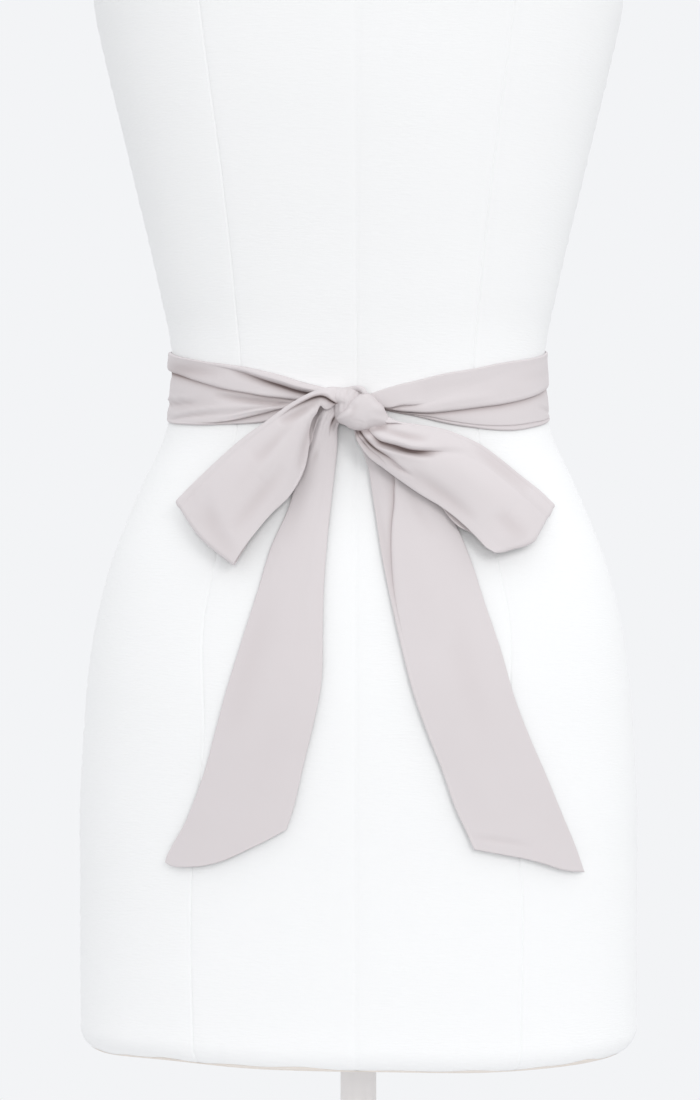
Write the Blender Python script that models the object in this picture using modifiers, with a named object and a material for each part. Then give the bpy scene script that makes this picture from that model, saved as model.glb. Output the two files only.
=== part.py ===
"""A satin sash tied in a bow round the waist of a dress form on its stand.

The row frame is +Z up with the origin on the floor under the pole. The bow faces -Y, which is the back of
the dress form, and +X is to the right of someone who looks at the bow. Tables are in millimetres.
"""

import math

import bmesh
import bpy
import numpy as np

MM = 0.001

# Sash
CLOTH = 1.5  # wall of the double, turned strip
SEAM_GAP = 0.3  # between pieces that touch
BAND_LIFT = 1.5  # middle of the band's wall above the form
PLEAT_LIFT = 1.6  # how far one pleat of the band stands over the next
PLEAT_EDGE = 0.022  # half the width of that step, as a share of the band's width

# Stand
POLE_RADIUS = 12.0
POLE_HEAD_RADIUS = 38.0
BASE_RADIUS = 200.0

# Dress form: one row for each level, from the hem up to the top of the neck.
# height, half width, depth to the back, depth to the front, squareness of the section
FORM_LEVELS = (
    (593, 183, 110, 95, 2.2),
    (610, 185.5, 112, 96, 2.2),
    (655, 186, 115, 97, 2.2),
    (700, 186, 118, 98, 2.2),
    (755, 186, 121, 99, 2.2),
    (809, 183, 122, 100, 2.2),
    (836, 181, 121, 101, 2.2),
    (863, 177.5, 118, 102, 2.2),
    (890, 172, 114, 102, 2.2),
    (917, 164.5, 108.5, 102, 2.2),
    (943, 154.5, 101.5, 101, 2.2),
    (970, 143, 94.5, 99, 2.2),
    (997, 130.5, 88.5, 96, 2.2),
    (1013, 126, 86, 93.5, 2.2),
    (1030, 124.4, 84.5, 92, 2.2),
    (1047, 124.2, 84, 92, 2.2),
    (1067, 126.5, 84.5, 94, 2.2),
    (1090, 131.5, 86.5, 98, 2.25),
    (1124, 139, 90.5, 106, 2.3),
    (1157, 147, 95, 117, 2.35),
    (1191, 155, 99, 127, 2.4),
    (1224, 163, 102, 129, 2.45),
    (1258, 171, 104, 122, 2.5),
    (1291, 178, 105, 110, 2.55),
    (1325, 181, 104, 98, 2.5),
    (1360, 179, 100, 87, 2.4),
    (1388, 168, 92, 78, 2.3),
    (1408, 146, 84, 71, 2.2),
    (1424, 116, 76, 65, 2.1),
    (1437, 86, 69, 60, 2.05),
    (1450, 68, 63, 57, 2.0),
    (1466, 59, 58, 55, 2.0),
    (1490, 56, 56, 54, 2.0),
    (1512, 56, 56, 54, 2.0),
)
FORM_AROUND = 48
BUST = (75.0, 1217.0, 38.0, 46.0, 11.0)  # x, height, reach across, reach up and down, fullness
FULLEST_HEIGHT = 800.0  # the seat of the form: what hangs below it hangs clear
ARM_CUT = (176.0, 1300.0)  # x and height on the flat plane that takes off each arm
ARM_CUT_LEAN = math.radians(5.0)

# Band round the waist: one row for each section, by the angle from the knot.
# angle, top, bottom, share of the width at the main pleat, share at the hem pleat, rise of the top roll
BAND_SECTIONS = (
    (3, 1023.5, 1014, 0.62, 0.86, 2.0),
    (7.7, 1027.6, 1012.1, 0.70, 0.88, 1.6),
    (14.8, 1032.3, 1009, 0.78, 0.90, 0.8),
    (24, 1037.7, 1004.5, 0.76, 0.91, 0.3),
    (34, 1041.4, 1001.7, 0.67, 0.91, 0.2),
    (46, 1045.9, 1000.2, 0.61, 0.90, 0.2),
    (64, 1050.5, 1003.5, 0.58, 0.90, 0.3),
    (90, 1056, 1006.5, 0.57, 0.90, 0.5),
    (125, 1060, 1006, 0.55, 0.90, 0.6),
    (180, 1062, 1006, 0.50, 0.88, 0.6),
    (235, 1060, 1006, 0.42, 0.84, 0.6),
    (270, 1056, 1007.5, 0.34, 0.82, 0.8),
    (302, 1048, 1005.3, 0.33, 0.84, 1.2),
    (311, 1045.5, 1004.2, 0.35, 0.84, 1.4),
    (322, 1043, 1004.5, 0.42, 0.82, 1.7),
    (331, 1039.9, 1004.9, 0.46, 0.76, 1.8),
    (339.5, 1034, 1008.5, 0.52, 0.74, 1.9),
    (345.5, 1029.5, 1011, 0.56, 0.76, 2.0),
    (352, 1026.3, 1013.5, 0.58, 0.80, 2.0),
    (357, 1024, 1014.5, 0.60, 0.82, 2.0),
)
BAND_STEPS = 68

# Tails: one row for each section from the knot to the slanted end.
# left x, left z, right x, right z, lift of the left edge, of the middle and of the right edge above the form,
# share of the width where the lengthwise fold lies, depth of that fold
TAIL_LEFT_SECTIONS = (
    (-7, 1017, -5, 1008, 10, 11, 10, 0.5, 0),
    (-15, 1015.5, -11, 1004, 8.6, 10, 8.6, 0.5, 0.4),
    (-21.5, 1009, -12.3, 999, 7, 8.6, 7, 0.55, 1.2),
    (-26, 993.4, -12.3, 990, 4.6, 7, 5.5, 0.6, 1.6),
    (-33, 975, -13.8, 974, 3.2, 5.2, 4.5, 0.6, 1.2),
    (-43.6, 949.8, -16.3, 951, 2.7, 4.2, 3.6, 0.6, 0.8),
    (-54.5, 925, -18.5, 929, 2.5, 3.6, 3.2, 0.6, 0.5),
    (-63, 896.3, -20.5, 900, 2.4, 3.4, 3.0, 0.6, 0.3),
    (-72, 868, -21.1, 872, 2.4, 3.4, 3.0, 0.6, 0.2),
    (-82, 835.6, -21.6, 842, 2.5, 3.4, 3.0, 0.6, 0),
    (-89, 810, -26, 817, 2.7, 3.4, 3.2, 0.6, 0),
    (-97, 781, -33, 788, 3.0, 3.6, 3.6, 0.6, 0),
    (-108, 752, -38.5, 764, 3.4, 4.0, 4.0, 0.6, 0),
    (-116.5, 736.5, -41.2, 750.5, 3.8, 4.2, 4.2, 0.6, 0),
    (-123.5, 722.5, -43, 743.5, 4.2, 4.6, 4.4, 0.6, 0),
)
TAIL_RIGHT_SECTIONS = (
    (-2, 1007, 7, 1007, 9.4, 10, 9.4, 0.3, 0),
    (-1.2, 997, 12, 996, 8, 9.5, 8, 0.32, 0.6),
    (3.5, 987, 25, 986, 6.5, 8, 7, 0.42, 1.4),
    (7.5, 975, 40, 974, 4.6, 6.5, 6, 0.48, 2.0),
    (9.8, 961, 53, 957, 3.6, 5.4, 5, 0.36, 2.0),
    (12.8, 941.5, 64, 938, 3.2, 4.6, 4, 0.22, 1.6),
    (16.5, 918, 73.5, 915, 3.0, 4.0, 3.2, 0.12, 1.0),
    (21.5, 893, 81.5, 890, 2.8, 3.8, 2.8, 0.08, 0.4),
    (28.2, 863, 92, 859, 2.8, 3.6, 2.6, 0.12, 0),
    (35.5, 834.5, 100.5, 829.5, 3.0, 3.6, 2.7, 0.2, 0),
    (44.5, 808.5, 110.5, 803.5, 3.2, 3.8, 3.0, 0.3, 0),
    (54, 784.5, 121, 779.5, 3.6, 4.0, 3.4, 0.4, 0),
    (62.5, 760, 132, 753, 4.0, 4.2, 4.0, 0.5, 0),
    (69, 746, 140, 734, 4.2, 4.6, 4.6, 0.5, 0),
    (74.5, 733.5, 146.4, 716, 4.6, 5.2, 5.2, 0.5, 0),
)
TAIL_STEPS = 28
TAIL_END_REACH = 0.12  # share of the length over which the end edge takes its curve
TAIL_END_BOWS = (7.5, 0.0)  # how far the end edge curves down at its middle, left and right

# Loops: one row for each section from the knot to the fold at the outer end.
# upper x, upper z, lower x, lower z, lift of the back layer, gap at the edges, crown of the front layer,
# how far the section bows outward, share of the width where the lengthwise fold lies, depth of that fold
LOOP_LEFT_SECTIONS = (
    (-4, 1022.5, -6, 1013, 15, 3.4, 0.6, 0, 0.55, 0),
    (-15, 1026.6, -15, 1012.5, 14, 3.4, 3.0, 0, 0.6, 1.6),
    (-26, 1025, -24.5, 1005, 12.8, 3.2, 5.0, 0, 0.55, 2.6),
    (-42.3, 1016.8, -29.5, 990, 11, 3.0, 6.0, 0, 0.42, 2.6),
    (-58.3, 1005.5, -35, 976, 9.6, 3.0, 6.0, 0, 0.34, 1.8),
    (-74.4, 994.1, -44.5, 960.5, 8.8, 3.2, 5.4, 0, 0.3, 0.8),
    (-90.6, 980.1, -56, 947.5, 8.4, 3.4, 4.6, 0.6, 0.3, 0.2),
    (-105, 966.7, -68, 930.5, 8.4, 3.6, 3.2, 2.0, 0.35, 0),
    (-115.4, 956.4, -77.2, 915.4, 8.8, 3.8, 0.8, 3.0, 0.4, 0),
)
LOOP_RIGHT_SECTIONS = (
    (9, 1008, -1, 1003.5, 14, 3.4, 0.6, 0, 0.5, 0),
    (17, 1003.6, 0.5, 993, 13, 3.4, 3.0, 0, 0.5, 1.4),
    (26, 1004.5, 7.5, 982.5, 12, 3.2, 5.0, 0, 0.55, 2.8),
    (39.3, 1003.3, 16.5, 975.5, 11, 3.0, 6.4, 0, 0.64, 3.0),
    (54.1, 1000.9, 29.1, 966.2, 10, 3.0, 7.0, 0, 0.68, 2.4),
    (67, 996.5, 41.5, 957.8, 9.4, 3.0, 7.0, 0, 0.68, 1.4),
    (80, 990.5, 53, 951, 9, 3.2, 6.4, 0, 0.6, 0.6),
    (92, 982, 63.5, 943.2, 8.8, 3.4, 5.6, 0.8, 0.5, 0.2),
    (105.4, 971.3, 74, 933.5, 9, 3.6, 4.4, 2.8, 0.5, 0),
    (118, 961.6, 82, 925, 9.6, 3.8, 3.0, 6.0, 0.5, 0),
    (126.6, 954.2, 87.2, 921.6, 10.4, 3.8, 0.8, 8.2, 0.5, 0),
)
LOOP_CORNER = 1.45  # 1 brings the outward bow to a corner, 2 makes it a plain curve
LOOP_STEPS = 16
FOLD_STEPS = 3

# Knot, seen from the front: the direction in degrees of each outline point from the centre, and its distance
FACE_CENTRE = (3.0, 1010.8)
FACE_OUTLINE = (
    (-3, 17.0),
    (30, 13.2),
    (62, 12.4),
    (80, 12.2),
    (103, 9.6),
    (143, 7.8),
    (178, 10.2),
    (196, 14.4),
    (214, 13.2),
    (240, 12.0),
    (268, 12.2),
    (300, 13.4),
    (330, 15.0),
)
FACE_DEPTHS = (-94.0, -113.5)  # y of its back and of its front
WRAP_CENTRE = (-3.0, 1016.0)
WRAP_OUTLINE = (
    (17, 13.4),
    (38, 15.2),
    (62, 13.4),
    (104, 12.4),
    (136, 14.8),
    (160, 14.4),
    (194, 12.4),
    (226, 14.2),
    (258, 14.0),
    (302, 13.0),
    (346, 12.4),
)
WRAP_DEPTHS = (-87.4, -108.5)
KNOT_AROUND = 24
KNOT_TURNS = (-80, -62, -42, -20, 0, 20, 40, 58, 74, 84)  # from the back of a lump over its rim to the front
KNOT_FULLNESS = (0.35, 0.75)  # roundness towards the back and towards the front


def smooth_columns(keys, columns, at):
    """The columns of a table read between its rows, along a smooth curve through every row."""
    keys = np.asarray(keys, float)
    columns = np.asarray(columns, float)
    at = np.clip(np.asarray(at, float), keys[0], keys[-1])
    start = np.clip(np.searchsorted(keys, at, side="right") - 1, 0, len(keys) - 2)
    step = (keys[start + 1] - keys[start])[:, None]
    t = (at - keys[start])[:, None] / step
    slope = np.gradient(columns, keys, axis=0)
    return (
        (2 * t**3 - 3 * t**2 + 1) * columns[start]
        + (t**3 - 2 * t**2 + t) * step * slope[start]
        + (3 * t**2 - 2 * t**3) * columns[start + 1]
        + (t**3 - t**2) * step * slope[start + 1]
    )


def form_sizes(heights):
    """Half width, depth to the back, depth to the front and squareness of the form's section at each height."""
    table = np.array(FORM_LEVELS, float)
    return smooth_columns(table[:, 0], table[:, 1:], heights).T


def form_outline(angle, height, lift=0.0):
    """Point on the form's section, or that far outside it. Angle 0 faces -Y and 90 degrees faces +X."""
    half_width, back, front, squareness = form_sizes([height])[:, 0]
    sine, cosine = math.sin(angle), math.cos(angle)
    depth = back if cosine > 0 else front
    power = 2 / squareness
    x = math.copysign(abs(sine) ** power, sine) * half_width
    y = -math.copysign(abs(cosine) ** power, cosine) * depth
    normal_x = math.copysign(abs(x / half_width) ** (squareness - 1), x) / half_width
    normal_y = math.copysign(abs(y / depth) ** (squareness - 1), y) / depth
    out = lift / math.hypot(normal_x, normal_y)
    return x + normal_x * out, y + normal_y * out


def bust(x, y, height):
    """Fullness added to the front of the form."""
    bust_x, bust_height, across, upright, fullness = BUST
    level = math.exp(-(((height - bust_height) / upright) ** 2))
    sides = math.exp(-(((abs(x) - bust_x) / across) ** 2))
    return fullness * level * sides * max(0.0, min(1.0, y / 40))


def form_back(x, height):
    """The form's surface on the bow's side. What hangs below the seat of the form hangs straight down."""
    half_width, back, _, squareness = form_sizes(np.maximum(height, FULLEST_HEIGHT))
    across = np.clip(np.abs(x) / half_width, 0, 0.999)
    return -back * (1 - across**squareness) ** (1 / squareness)


def new_material(name, colour, roughness, metallic=0.0):
    material = bpy.data.materials.new(name)
    material.use_nodes = True
    shader = material.node_tree.nodes["Principled BSDF"]
    shader.inputs["Base Color"].default_value = (*colour, 1.0)
    shader.inputs["Roughness"].default_value = roughness
    shader.inputs["Metallic"].default_value = metallic
    return material


def new_collection(name):
    collection = bpy.data.collections.new(name)
    bpy.context.scene.collection.children.link(collection)
    return collection


def new_object(name, shape, collection, material=None):
    mesh = bpy.data.meshes.new(name)
    shape.to_mesh(mesh)
    shape.free()
    obj = bpy.data.objects.new(name, mesh)
    collection.objects.link(obj)
    if material:
        mesh.materials.append(material)
        mesh.shade_smooth()
    return obj


def cloth_wall(name, points, collection, material):
    """A wall of cloth whose middle runs through points[step][line]."""
    steps, lines = points.shape[:2]
    shape = bmesh.new()
    made = bmesh.ops.create_grid(shape, x_segments=lines - 1, y_segments=steps - 1, size=0.5)
    for vertex in made["verts"]:
        line = round((vertex.co.x + 0.5) * (lines - 1))
        step = round((vertex.co.y + 0.5) * (steps - 1))
        vertex.co = points[step, line] * MM
    obj = new_object(name, shape, collection, material)
    wall = obj.modifiers.new("wall", "SOLIDIFY")
    wall.thickness = CLOTH * MM
    wall.offset = 0
    return obj


def cut_clear(obj, cutters):
    """Trims a piece where it would run into its neighbours, which the cutters follow at a small gap."""
    for cutter in cutters:
        cut = obj.modifiers.new("clear of " + cutter.name, "BOOLEAN")
        cut.operation = "DIFFERENCE"
        cut.object = cutter


def loft(rings, name, collection, material=None):
    """A closed solid through rings of points from one end to the other."""
    shape = bmesh.new()
    loops = [[shape.verts.new([value * MM for value in point]) for point in ring] for ring in rings]
    for lower, upper in zip(loops, loops[1:]):
        for step in range(len(lower)):
            following = (step + 1) % len(lower)
            shape.faces.new((lower[step], lower[following], upper[following], upper[step]))
    shape.faces.new(loops[0])
    shape.faces.new(loops[-1])
    bmesh.ops.recalc_face_normals(shape, faces=shape.faces[:])
    return new_object(name, shape, collection, material)


def form_body(collection, cutters, material):
    """Limbless torso with its neck: a loft through the levels, with the arms cut off flat."""
    heights = []
    for row, following in zip(FORM_LEVELS, FORM_LEVELS[1:]):
        heights.append(row[0])
        if 930 < row[0] < 1070 or following[0] - row[0] > 40:
            heights.append((row[0] + following[0]) / 2)
    heights.append(FORM_LEVELS[-1][0])
    rings = []
    for height in heights:
        ring = []
        for step in range(FORM_AROUND):
            x, y = form_outline(2 * math.pi * step / FORM_AROUND, height)
            ring.append((x, y + bust(x, y, height), height))
        rings.append(ring)
    body = loft(rings, "form_body", collection, material)
    for side, name in ((-1, "arm_cut_left"), (1, "arm_cut_right")):
        shape = bmesh.new()
        made = bmesh.ops.create_cube(shape, size=1.0)
        for vertex in made["verts"]:
            across = (vertex.co.x * side + 0.5) * 60
            up = vertex.co.z * 420
            vertex.co = (
                side * (ARM_CUT[0] + across * math.cos(ARM_CUT_LEAN) - up * math.sin(ARM_CUT_LEAN)) * MM,
                vertex.co.y * 260 * MM,
                (ARM_CUT[1] + across * math.sin(ARM_CUT_LEAN) + up * math.cos(ARM_CUT_LEAN)) * MM,
            )
        bmesh.ops.recalc_face_normals(shape, faces=shape.faces[:])
        cut_clear(body, [new_object(name, shape, cutters)])
    return body


def turned(name, profile, steps, collection, material):
    """A solid turned about the upright axis from a profile that runs from its top down to its bottom."""
    shape = bmesh.new()
    points = [shape.verts.new((radius * MM, 0, height * MM)) for radius, height in profile]
    for upper, lower in zip(points, points[1:]):
        shape.edges.new((upper, lower))
    obj = new_object(name, shape, collection, material)
    turn = obj.modifiers.new("turn", "SCREW")
    turn.axis = "Z"
    turn.steps = steps
    turn.render_steps = steps
    turn.use_merge_vertices = True
    turn.merge_threshold = 0.00001
    return obj


def knot_lump(name, centre, outline, depths, collection, material=None, grow=0.0):
    """One turn of the knot: a rounded lump, or the same lump a little larger all round."""
    directions = [row[0] for row in outline]
    distances = [row[1] for row in outline]
    back, front = depths[0] + grow, depths[1] - grow
    rings = []
    for turn in KNOT_TURNS:
        angle = math.radians(turn)
        spread = math.cos(angle) ** KNOT_FULLNESS[0 if turn < 0 else 1]
        y = (back + front) / 2 + (front - back) / 2 * math.sin(angle)
        ring = []
        for step in range(KNOT_AROUND):
            direction = 360 * step / KNOT_AROUND
            reach = np.interp(direction, directions, distances, period=360) * spread + grow
            ring.append(
                (
                    centre[0] + reach * math.cos(math.radians(direction)),
                    y,
                    centre[1] + reach * math.sin(math.radians(direction)),
                )
            )
        rings.append(ring)
    return loft(rings, name, collection, material)


def band_points():
    """The waist band, with a main pleat and a hem pleat that overlap downward like shingles."""
    table = np.array(BAND_SECTIONS, float)
    angles = np.linspace(table[0, 0], table[-1, 0], BAND_STEPS + 1)
    rows = smooth_columns(table[:, 0], table[:, 1:], angles)
    points = []
    for angle, (top, bottom, main, hem, roll) in zip(angles, rows):
        shares = (
            0,
            0.25 * main,
            0.6 * main,
            main - PLEAT_EDGE,
            main + PLEAT_EDGE,
            (main + hem) / 2,
            hem - PLEAT_EDGE,
            hem + PLEAT_EDGE,
            1,
        )
        rises = (
            0,
            roll + 0.25 * PLEAT_LIFT,
            0.6 * roll + 0.6 * PLEAT_LIFT,
            PLEAT_LIFT,
            0,
            0.4 * PLEAT_LIFT,
            0.8 * PLEAT_LIFT,
            0,
            0,
        )
        line = []
        for share, rise in zip(shares, rises):
            height = top + (bottom - top) * share
            x, y = form_outline(math.radians(angle), height, BAND_LIFT + rise)
            line.append((x, y, height))
        points.append(line)
    return np.array(points)


def lines_about(fold):
    """Shares of the width for the lines of a strip, crowded about its lengthwise fold."""
    before = fold * np.array((0, 0.4, 0.8))
    after = fold + (1 - fold) * np.array((0.15, 0.5, 0.75, 1))
    return np.concatenate((before, [fold], after))


def groove(shares, fold, depth):
    """How far a strip dips in along its lengthwise fold."""
    return depth * np.exp(-(((shares - fold) / 0.12) ** 2))


def tail_points(sections, end_bow):
    """A hanging end that lies on the hip, from the knot down to its slanted end."""
    rows = smooth_columns(range(len(sections)), sections, np.linspace(0, len(sections) - 1, TAIL_STEPS + 1))
    points = []
    for step, (left_x, left_z, right_x, right_z, left, middle, right, fold, depth) in enumerate(rows):
        shares = lines_about(np.clip(fold, 0.08, 0.9))
        arch = 4 * shares * (1 - shares)
        near_end = max(0, 1 - (1 - step / TAIL_STEPS) / TAIL_END_REACH)
        x = left_x + (right_x - left_x) * shares
        z = left_z + (right_z - left_z) * shares - end_bow * near_end * arch
        lift = left + (right - left) * shares + (middle - (left + right) / 2) * arch
        lift = lift - groove(shares, fold, depth) * arch
        points.append(np.stack((x, form_back(x, z) - lift, z), axis=1))
    return np.array(points)


def loop_points(sections):
    """A loop of the bow: the front layer out to the end, round the soft fold, and the back layer home again."""
    rows = smooth_columns(range(len(sections)), sections, np.linspace(0, len(sections) - 1, LOOP_STEPS + 1))
    front = []
    back = []
    for upper_x, upper_z, lower_x, lower_z, lift, gap, crown, bow, fold, depth in rows:
        shares = lines_about(fold)
        arch = 4 * shares * (1 - shares)
        width = np.array((lower_x - upper_x, lower_z - upper_z))
        outward = np.array((-width[1], width[0])) * math.copysign(1, upper_x * -width[1]) / np.hypot(*width)
        corner = 1 - np.abs(2 * shares - 1) ** LOOP_CORNER
        x = upper_x + width[0] * shares + outward[0] * bow * corner
        z = upper_z + width[1] * shares + outward[1] * bow * corner
        y = form_back(x, z) - lift
        rise = gap + crown * arch - groove(shares, fold, depth) * arch
        front.append(np.stack((x, y - rise, z), axis=1))
        back.append(np.stack((x, y, z), axis=1))
    front, back = np.array(front), np.array(back)
    middle = (front[-1] + back[-1]) / 2
    out = front[-1] - front[-2]
    out /= np.linalg.norm(out, axis=1)[:, None]
    radius = np.linalg.norm(front[-1] - back[-1], axis=1)[:, None] / 2
    turns = []
    for step in range(1, FOLD_STEPS + 1):
        angle = math.pi * step / (FOLD_STEPS + 1)
        turns.append(middle + (front[-1] - middle) * math.cos(angle) + out * radius * math.sin(angle))
    return np.concatenate((front, turns, back[::-1]))


def build():
    parts = new_collection("satin_sash")
    cutters = new_collection("cutters")

    satin = new_material("dusty pink satin", (0.678, 0.636, 0.65), 0.5)
    linen = new_material("white linen", (0.88, 0.885, 0.9), 0.9)
    paint = new_material("white painted steel", (0.8, 0.79, 0.78), 0.4)

    form_body(parts, cutters, linen)
    turned(
        "stand_pole",
        (
            (0, 592.7),
            (POLE_HEAD_RADIUS - 1, 592.7),
            (POLE_HEAD_RADIUS, 591.7),
            (POLE_HEAD_RADIUS, 588),
            (POLE_RADIUS + 3, 585.5),
            (POLE_RADIUS, 580),
            (POLE_RADIUS, 34.3),
            (0, 34.3),
        ),
        24,
        parts,
        paint,
    )
    turned(
        "stand_base",
        (
            (0, 34),
            (19, 34),
            (22, 31),
            (24, 18),
            (30, 13.5),
            (60, 11.5),
            (130, 9.5),
            (BASE_RADIUS - 5, 7),
            (BASE_RADIUS - 1, 5),
            (BASE_RADIUS, 2.5),
            (BASE_RADIUS, 0),
            (0, 0),
        ),
        48,
        parts,
        paint,
    )

    face = ("sash_knot_face", FACE_CENTRE, FACE_OUTLINE, FACE_DEPTHS)
    wrap = ("sash_knot_wrap", WRAP_CENTRE, WRAP_OUTLINE, WRAP_DEPTHS)
    knot_lump(*face, parts, satin)
    knot_wrap = knot_lump(*wrap, parts, satin)
    around_face = knot_lump("around_knot_face", *face[1:], cutters, grow=SEAM_GAP)
    around_wrap = knot_lump("around_knot_wrap", *wrap[1:], cutters, grow=SEAM_GAP)
    cut_clear(knot_wrap, [around_face])

    strips = {
        "sash_band": band_points(),
        "sash_tail_left": tail_points(TAIL_LEFT_SECTIONS, TAIL_END_BOWS[0]),
        "sash_tail_right": tail_points(TAIL_RIGHT_SECTIONS, TAIL_END_BOWS[1]),
        "sash_loop_left": loop_points(LOOP_LEFT_SECTIONS),
        "sash_loop_right": loop_points(LOOP_RIGHT_SECTIONS),
    }
    for name, points in strips.items():
        cut_clear(cloth_wall(name, points, parts, satin), [around_wrap, around_face])

    for cutter in cutters.objects:
        cutter.hide_render = True
        cutter.display_type = "WIRE"


for started_with in list(bpy.data.objects):
    bpy.data.objects.remove(started_with)

build()
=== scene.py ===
# %% [markdown]
# # A satin sash on a dress form
# A long flat strip of soft satin is tied round the waist of a limbless dress form. The form stands on a
# pole with a round foot, and the bow is at its back, which faces -Y. The solids of all this are already
# made and packed. This script loads them as a fixed frame and makes the surfaces that are seen: the cloth
# with its folds, the woven cover of the form with its seams, and the painted stand.

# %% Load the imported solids
import math

import bmesh
import bpy
import numpy as np
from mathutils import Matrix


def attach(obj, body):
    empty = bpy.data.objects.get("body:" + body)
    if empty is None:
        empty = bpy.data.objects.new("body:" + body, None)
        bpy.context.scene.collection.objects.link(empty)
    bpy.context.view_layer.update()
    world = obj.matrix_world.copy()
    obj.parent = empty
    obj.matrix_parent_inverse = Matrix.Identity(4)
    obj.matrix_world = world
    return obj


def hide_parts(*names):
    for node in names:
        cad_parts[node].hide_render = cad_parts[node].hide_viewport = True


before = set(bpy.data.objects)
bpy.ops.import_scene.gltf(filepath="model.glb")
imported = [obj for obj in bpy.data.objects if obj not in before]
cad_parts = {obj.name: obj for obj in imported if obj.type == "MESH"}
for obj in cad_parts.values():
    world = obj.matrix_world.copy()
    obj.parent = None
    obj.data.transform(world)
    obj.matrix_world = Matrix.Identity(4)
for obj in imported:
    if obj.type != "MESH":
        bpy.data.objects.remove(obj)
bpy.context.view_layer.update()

MM = 0.001
WELD = 0.000001  # points that are closer than this are one
print("nodes", sorted(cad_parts))

# %% [markdown]
# ## Reading a short table smoothly
# Every shape here is worked out from short tables of sections. Straight lines between the rows would show
# as facets, so the tables are read along a smooth cubic curve through every row. The slope at a row comes
# from its two neighbours, which keeps the curve close to the rows.

# %% Smooth reading
def read_table(rows, at):
    """The columns after the first, each in the shape of the given values of the first column."""
    table = np.array(rows, float)
    keys, columns = table[:, 0], table[:, 1:]
    places = np.clip(np.ravel(at), keys[0], keys[-1])
    start = np.clip(np.searchsorted(keys, places, side="right") - 1, 0, len(keys) - 2)
    step = (keys[start + 1] - keys[start])[:, None]
    t = (places - keys[start])[:, None] / step
    slope = np.gradient(columns, keys, axis=0)
    values = (
        (2 * t**3 - 3 * t**2 + 1) * columns[start]
        + (t**3 - 2 * t**2 + t) * step * slope[start]
        + (3 * t**2 - 2 * t**3) * columns[start + 1]
        + (t**3 - t**2) * step * slope[start + 1]
    )
    return values.T.reshape(-1, *np.shape(at))


def read_sections(sections, at):
    """The same for a table of sections that are numbered from 0."""
    return read_table([(number, *section) for number, section in enumerate(sections)], at)


# %% [markdown]
# ## The camera
# The view is level, at the height of the bow's lower part, nearly straight at the back of the form, from 2
# m away through a long lens. It is placed by its real distance and height from a point at the bow's depth,
# and it stands a degree to the right of straight on. The lens follows from the width of the form in the
# frame.

# %% Camera
VIEW_POINT = (-0.004, -0.110, 0.923)
VIEW_DISTANCE = 1.99
VIEW_TURN = math.radians(0.85)
PICTURE_HEIGHT = 1100
FOCAL_PIXELS = 3134
SENSOR = 36.0

camera_data = bpy.data.cameras.new("camera")
camera_data.sensor_fit = "VERTICAL"
camera_data.sensor_height = SENSOR
camera_data.lens = FOCAL_PIXELS / PICTURE_HEIGHT * SENSOR
camera = bpy.data.objects.new("camera", camera_data)
camera.location = (
    VIEW_POINT[0] + VIEW_DISTANCE * math.sin(VIEW_TURN),
    VIEW_POINT[1] - VIEW_DISTANCE * math.cos(VIEW_TURN),
    VIEW_POINT[2],
)
camera.rotation_euler = (math.radians(90), 0, VIEW_TURN)
bpy.context.scene.collection.objects.link(camera)
bpy.context.scene.camera = camera
print("lens", round(camera_data.lens, 1), "mm")

# %% [markdown]
# ## The form's shape
# A dress form is a body shape with level sections. Each section is a superellipse: a squareness of 2 is an
# ellipse, and a larger one is squarer. The back and the front have their own depths. The same function
# gives points that lie a little outside the form, so the band of the sash can follow it at a fixed
# distance.

# %% Sections of the form
# height, half width, depth to the back, depth to the front, squareness
FORM_LEVELS = (
    (590, 185.6, 112, 96, 2.2), (610, 185.7, 112, 96, 2.2), (655, 186, 115, 97, 2.2),
    (700, 186, 118, 98, 2.2), (755, 186, 121, 99, 2.2), (809, 183, 122, 100, 2.2),
    (836, 181, 121, 101, 2.2), (863, 177.5, 118, 102, 2.2), (890, 172, 114, 102, 2.2),
    (917, 164.5, 108.5, 102, 2.2), (943, 154.5, 101.5, 101, 2.2), (970, 143, 94.5, 99, 2.2),
    (997, 130.5, 88.5, 96, 2.2), (1013, 126, 86, 93.5, 2.2), (1030, 124.4, 84.5, 92, 2.2),
    (1047, 124.2, 84, 92, 2.2), (1067, 126.5, 84.5, 94, 2.2), (1090, 131.5, 86.5, 98, 2.25),
    (1124, 139, 90.5, 106, 2.3), (1157, 147, 95, 117, 2.35), (1191, 155, 99, 127, 2.4),
    (1224, 163, 102, 129, 2.45), (1258, 171, 104, 122, 2.5), (1291, 178, 105, 110, 2.55),
    (1325, 181, 104, 98, 2.5), (1360, 179, 100, 87, 2.4), (1388, 168, 92, 78, 2.3),
    (1408, 146, 84, 71, 2.2), (1424, 116, 76, 65, 2.1), (1437, 86, 69, 60, 2.05), (1450, 68, 63, 57, 2),
    (1466, 59, 58, 55, 2), (1490, 56, 56, 54, 2), (1512, 56, 56, 54, 2),
)
FULLEST_HEIGHT = 800.0  # the seat of the form
HANG_SHARE = 0.5  # below the seat, 1 would hang straight down and 0 would cling to the form


def around_form(angles, heights, lift):
    """Points that far outside the form's sections. Angle 0 faces -Y and 90 degrees faces +X."""
    half_width, back, front, squareness = read_table(FORM_LEVELS, heights)
    sine, cosine = np.sin(angles), np.cos(angles)
    depth = np.where(cosine > 0, back, front)
    power = 2 / squareness
    x = np.sign(sine) * np.abs(sine) ** power * half_width
    y = -np.sign(cosine) * np.abs(cosine) ** power * depth
    normal_x = np.sign(x) * np.abs(x / half_width) ** (squareness - 1) / half_width
    normal_y = np.sign(y) * np.abs(y / depth) ** (squareness - 1) / depth
    out = lift / np.hypot(normal_x, normal_y)
    return x + normal_x * out, y + normal_y * out


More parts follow.
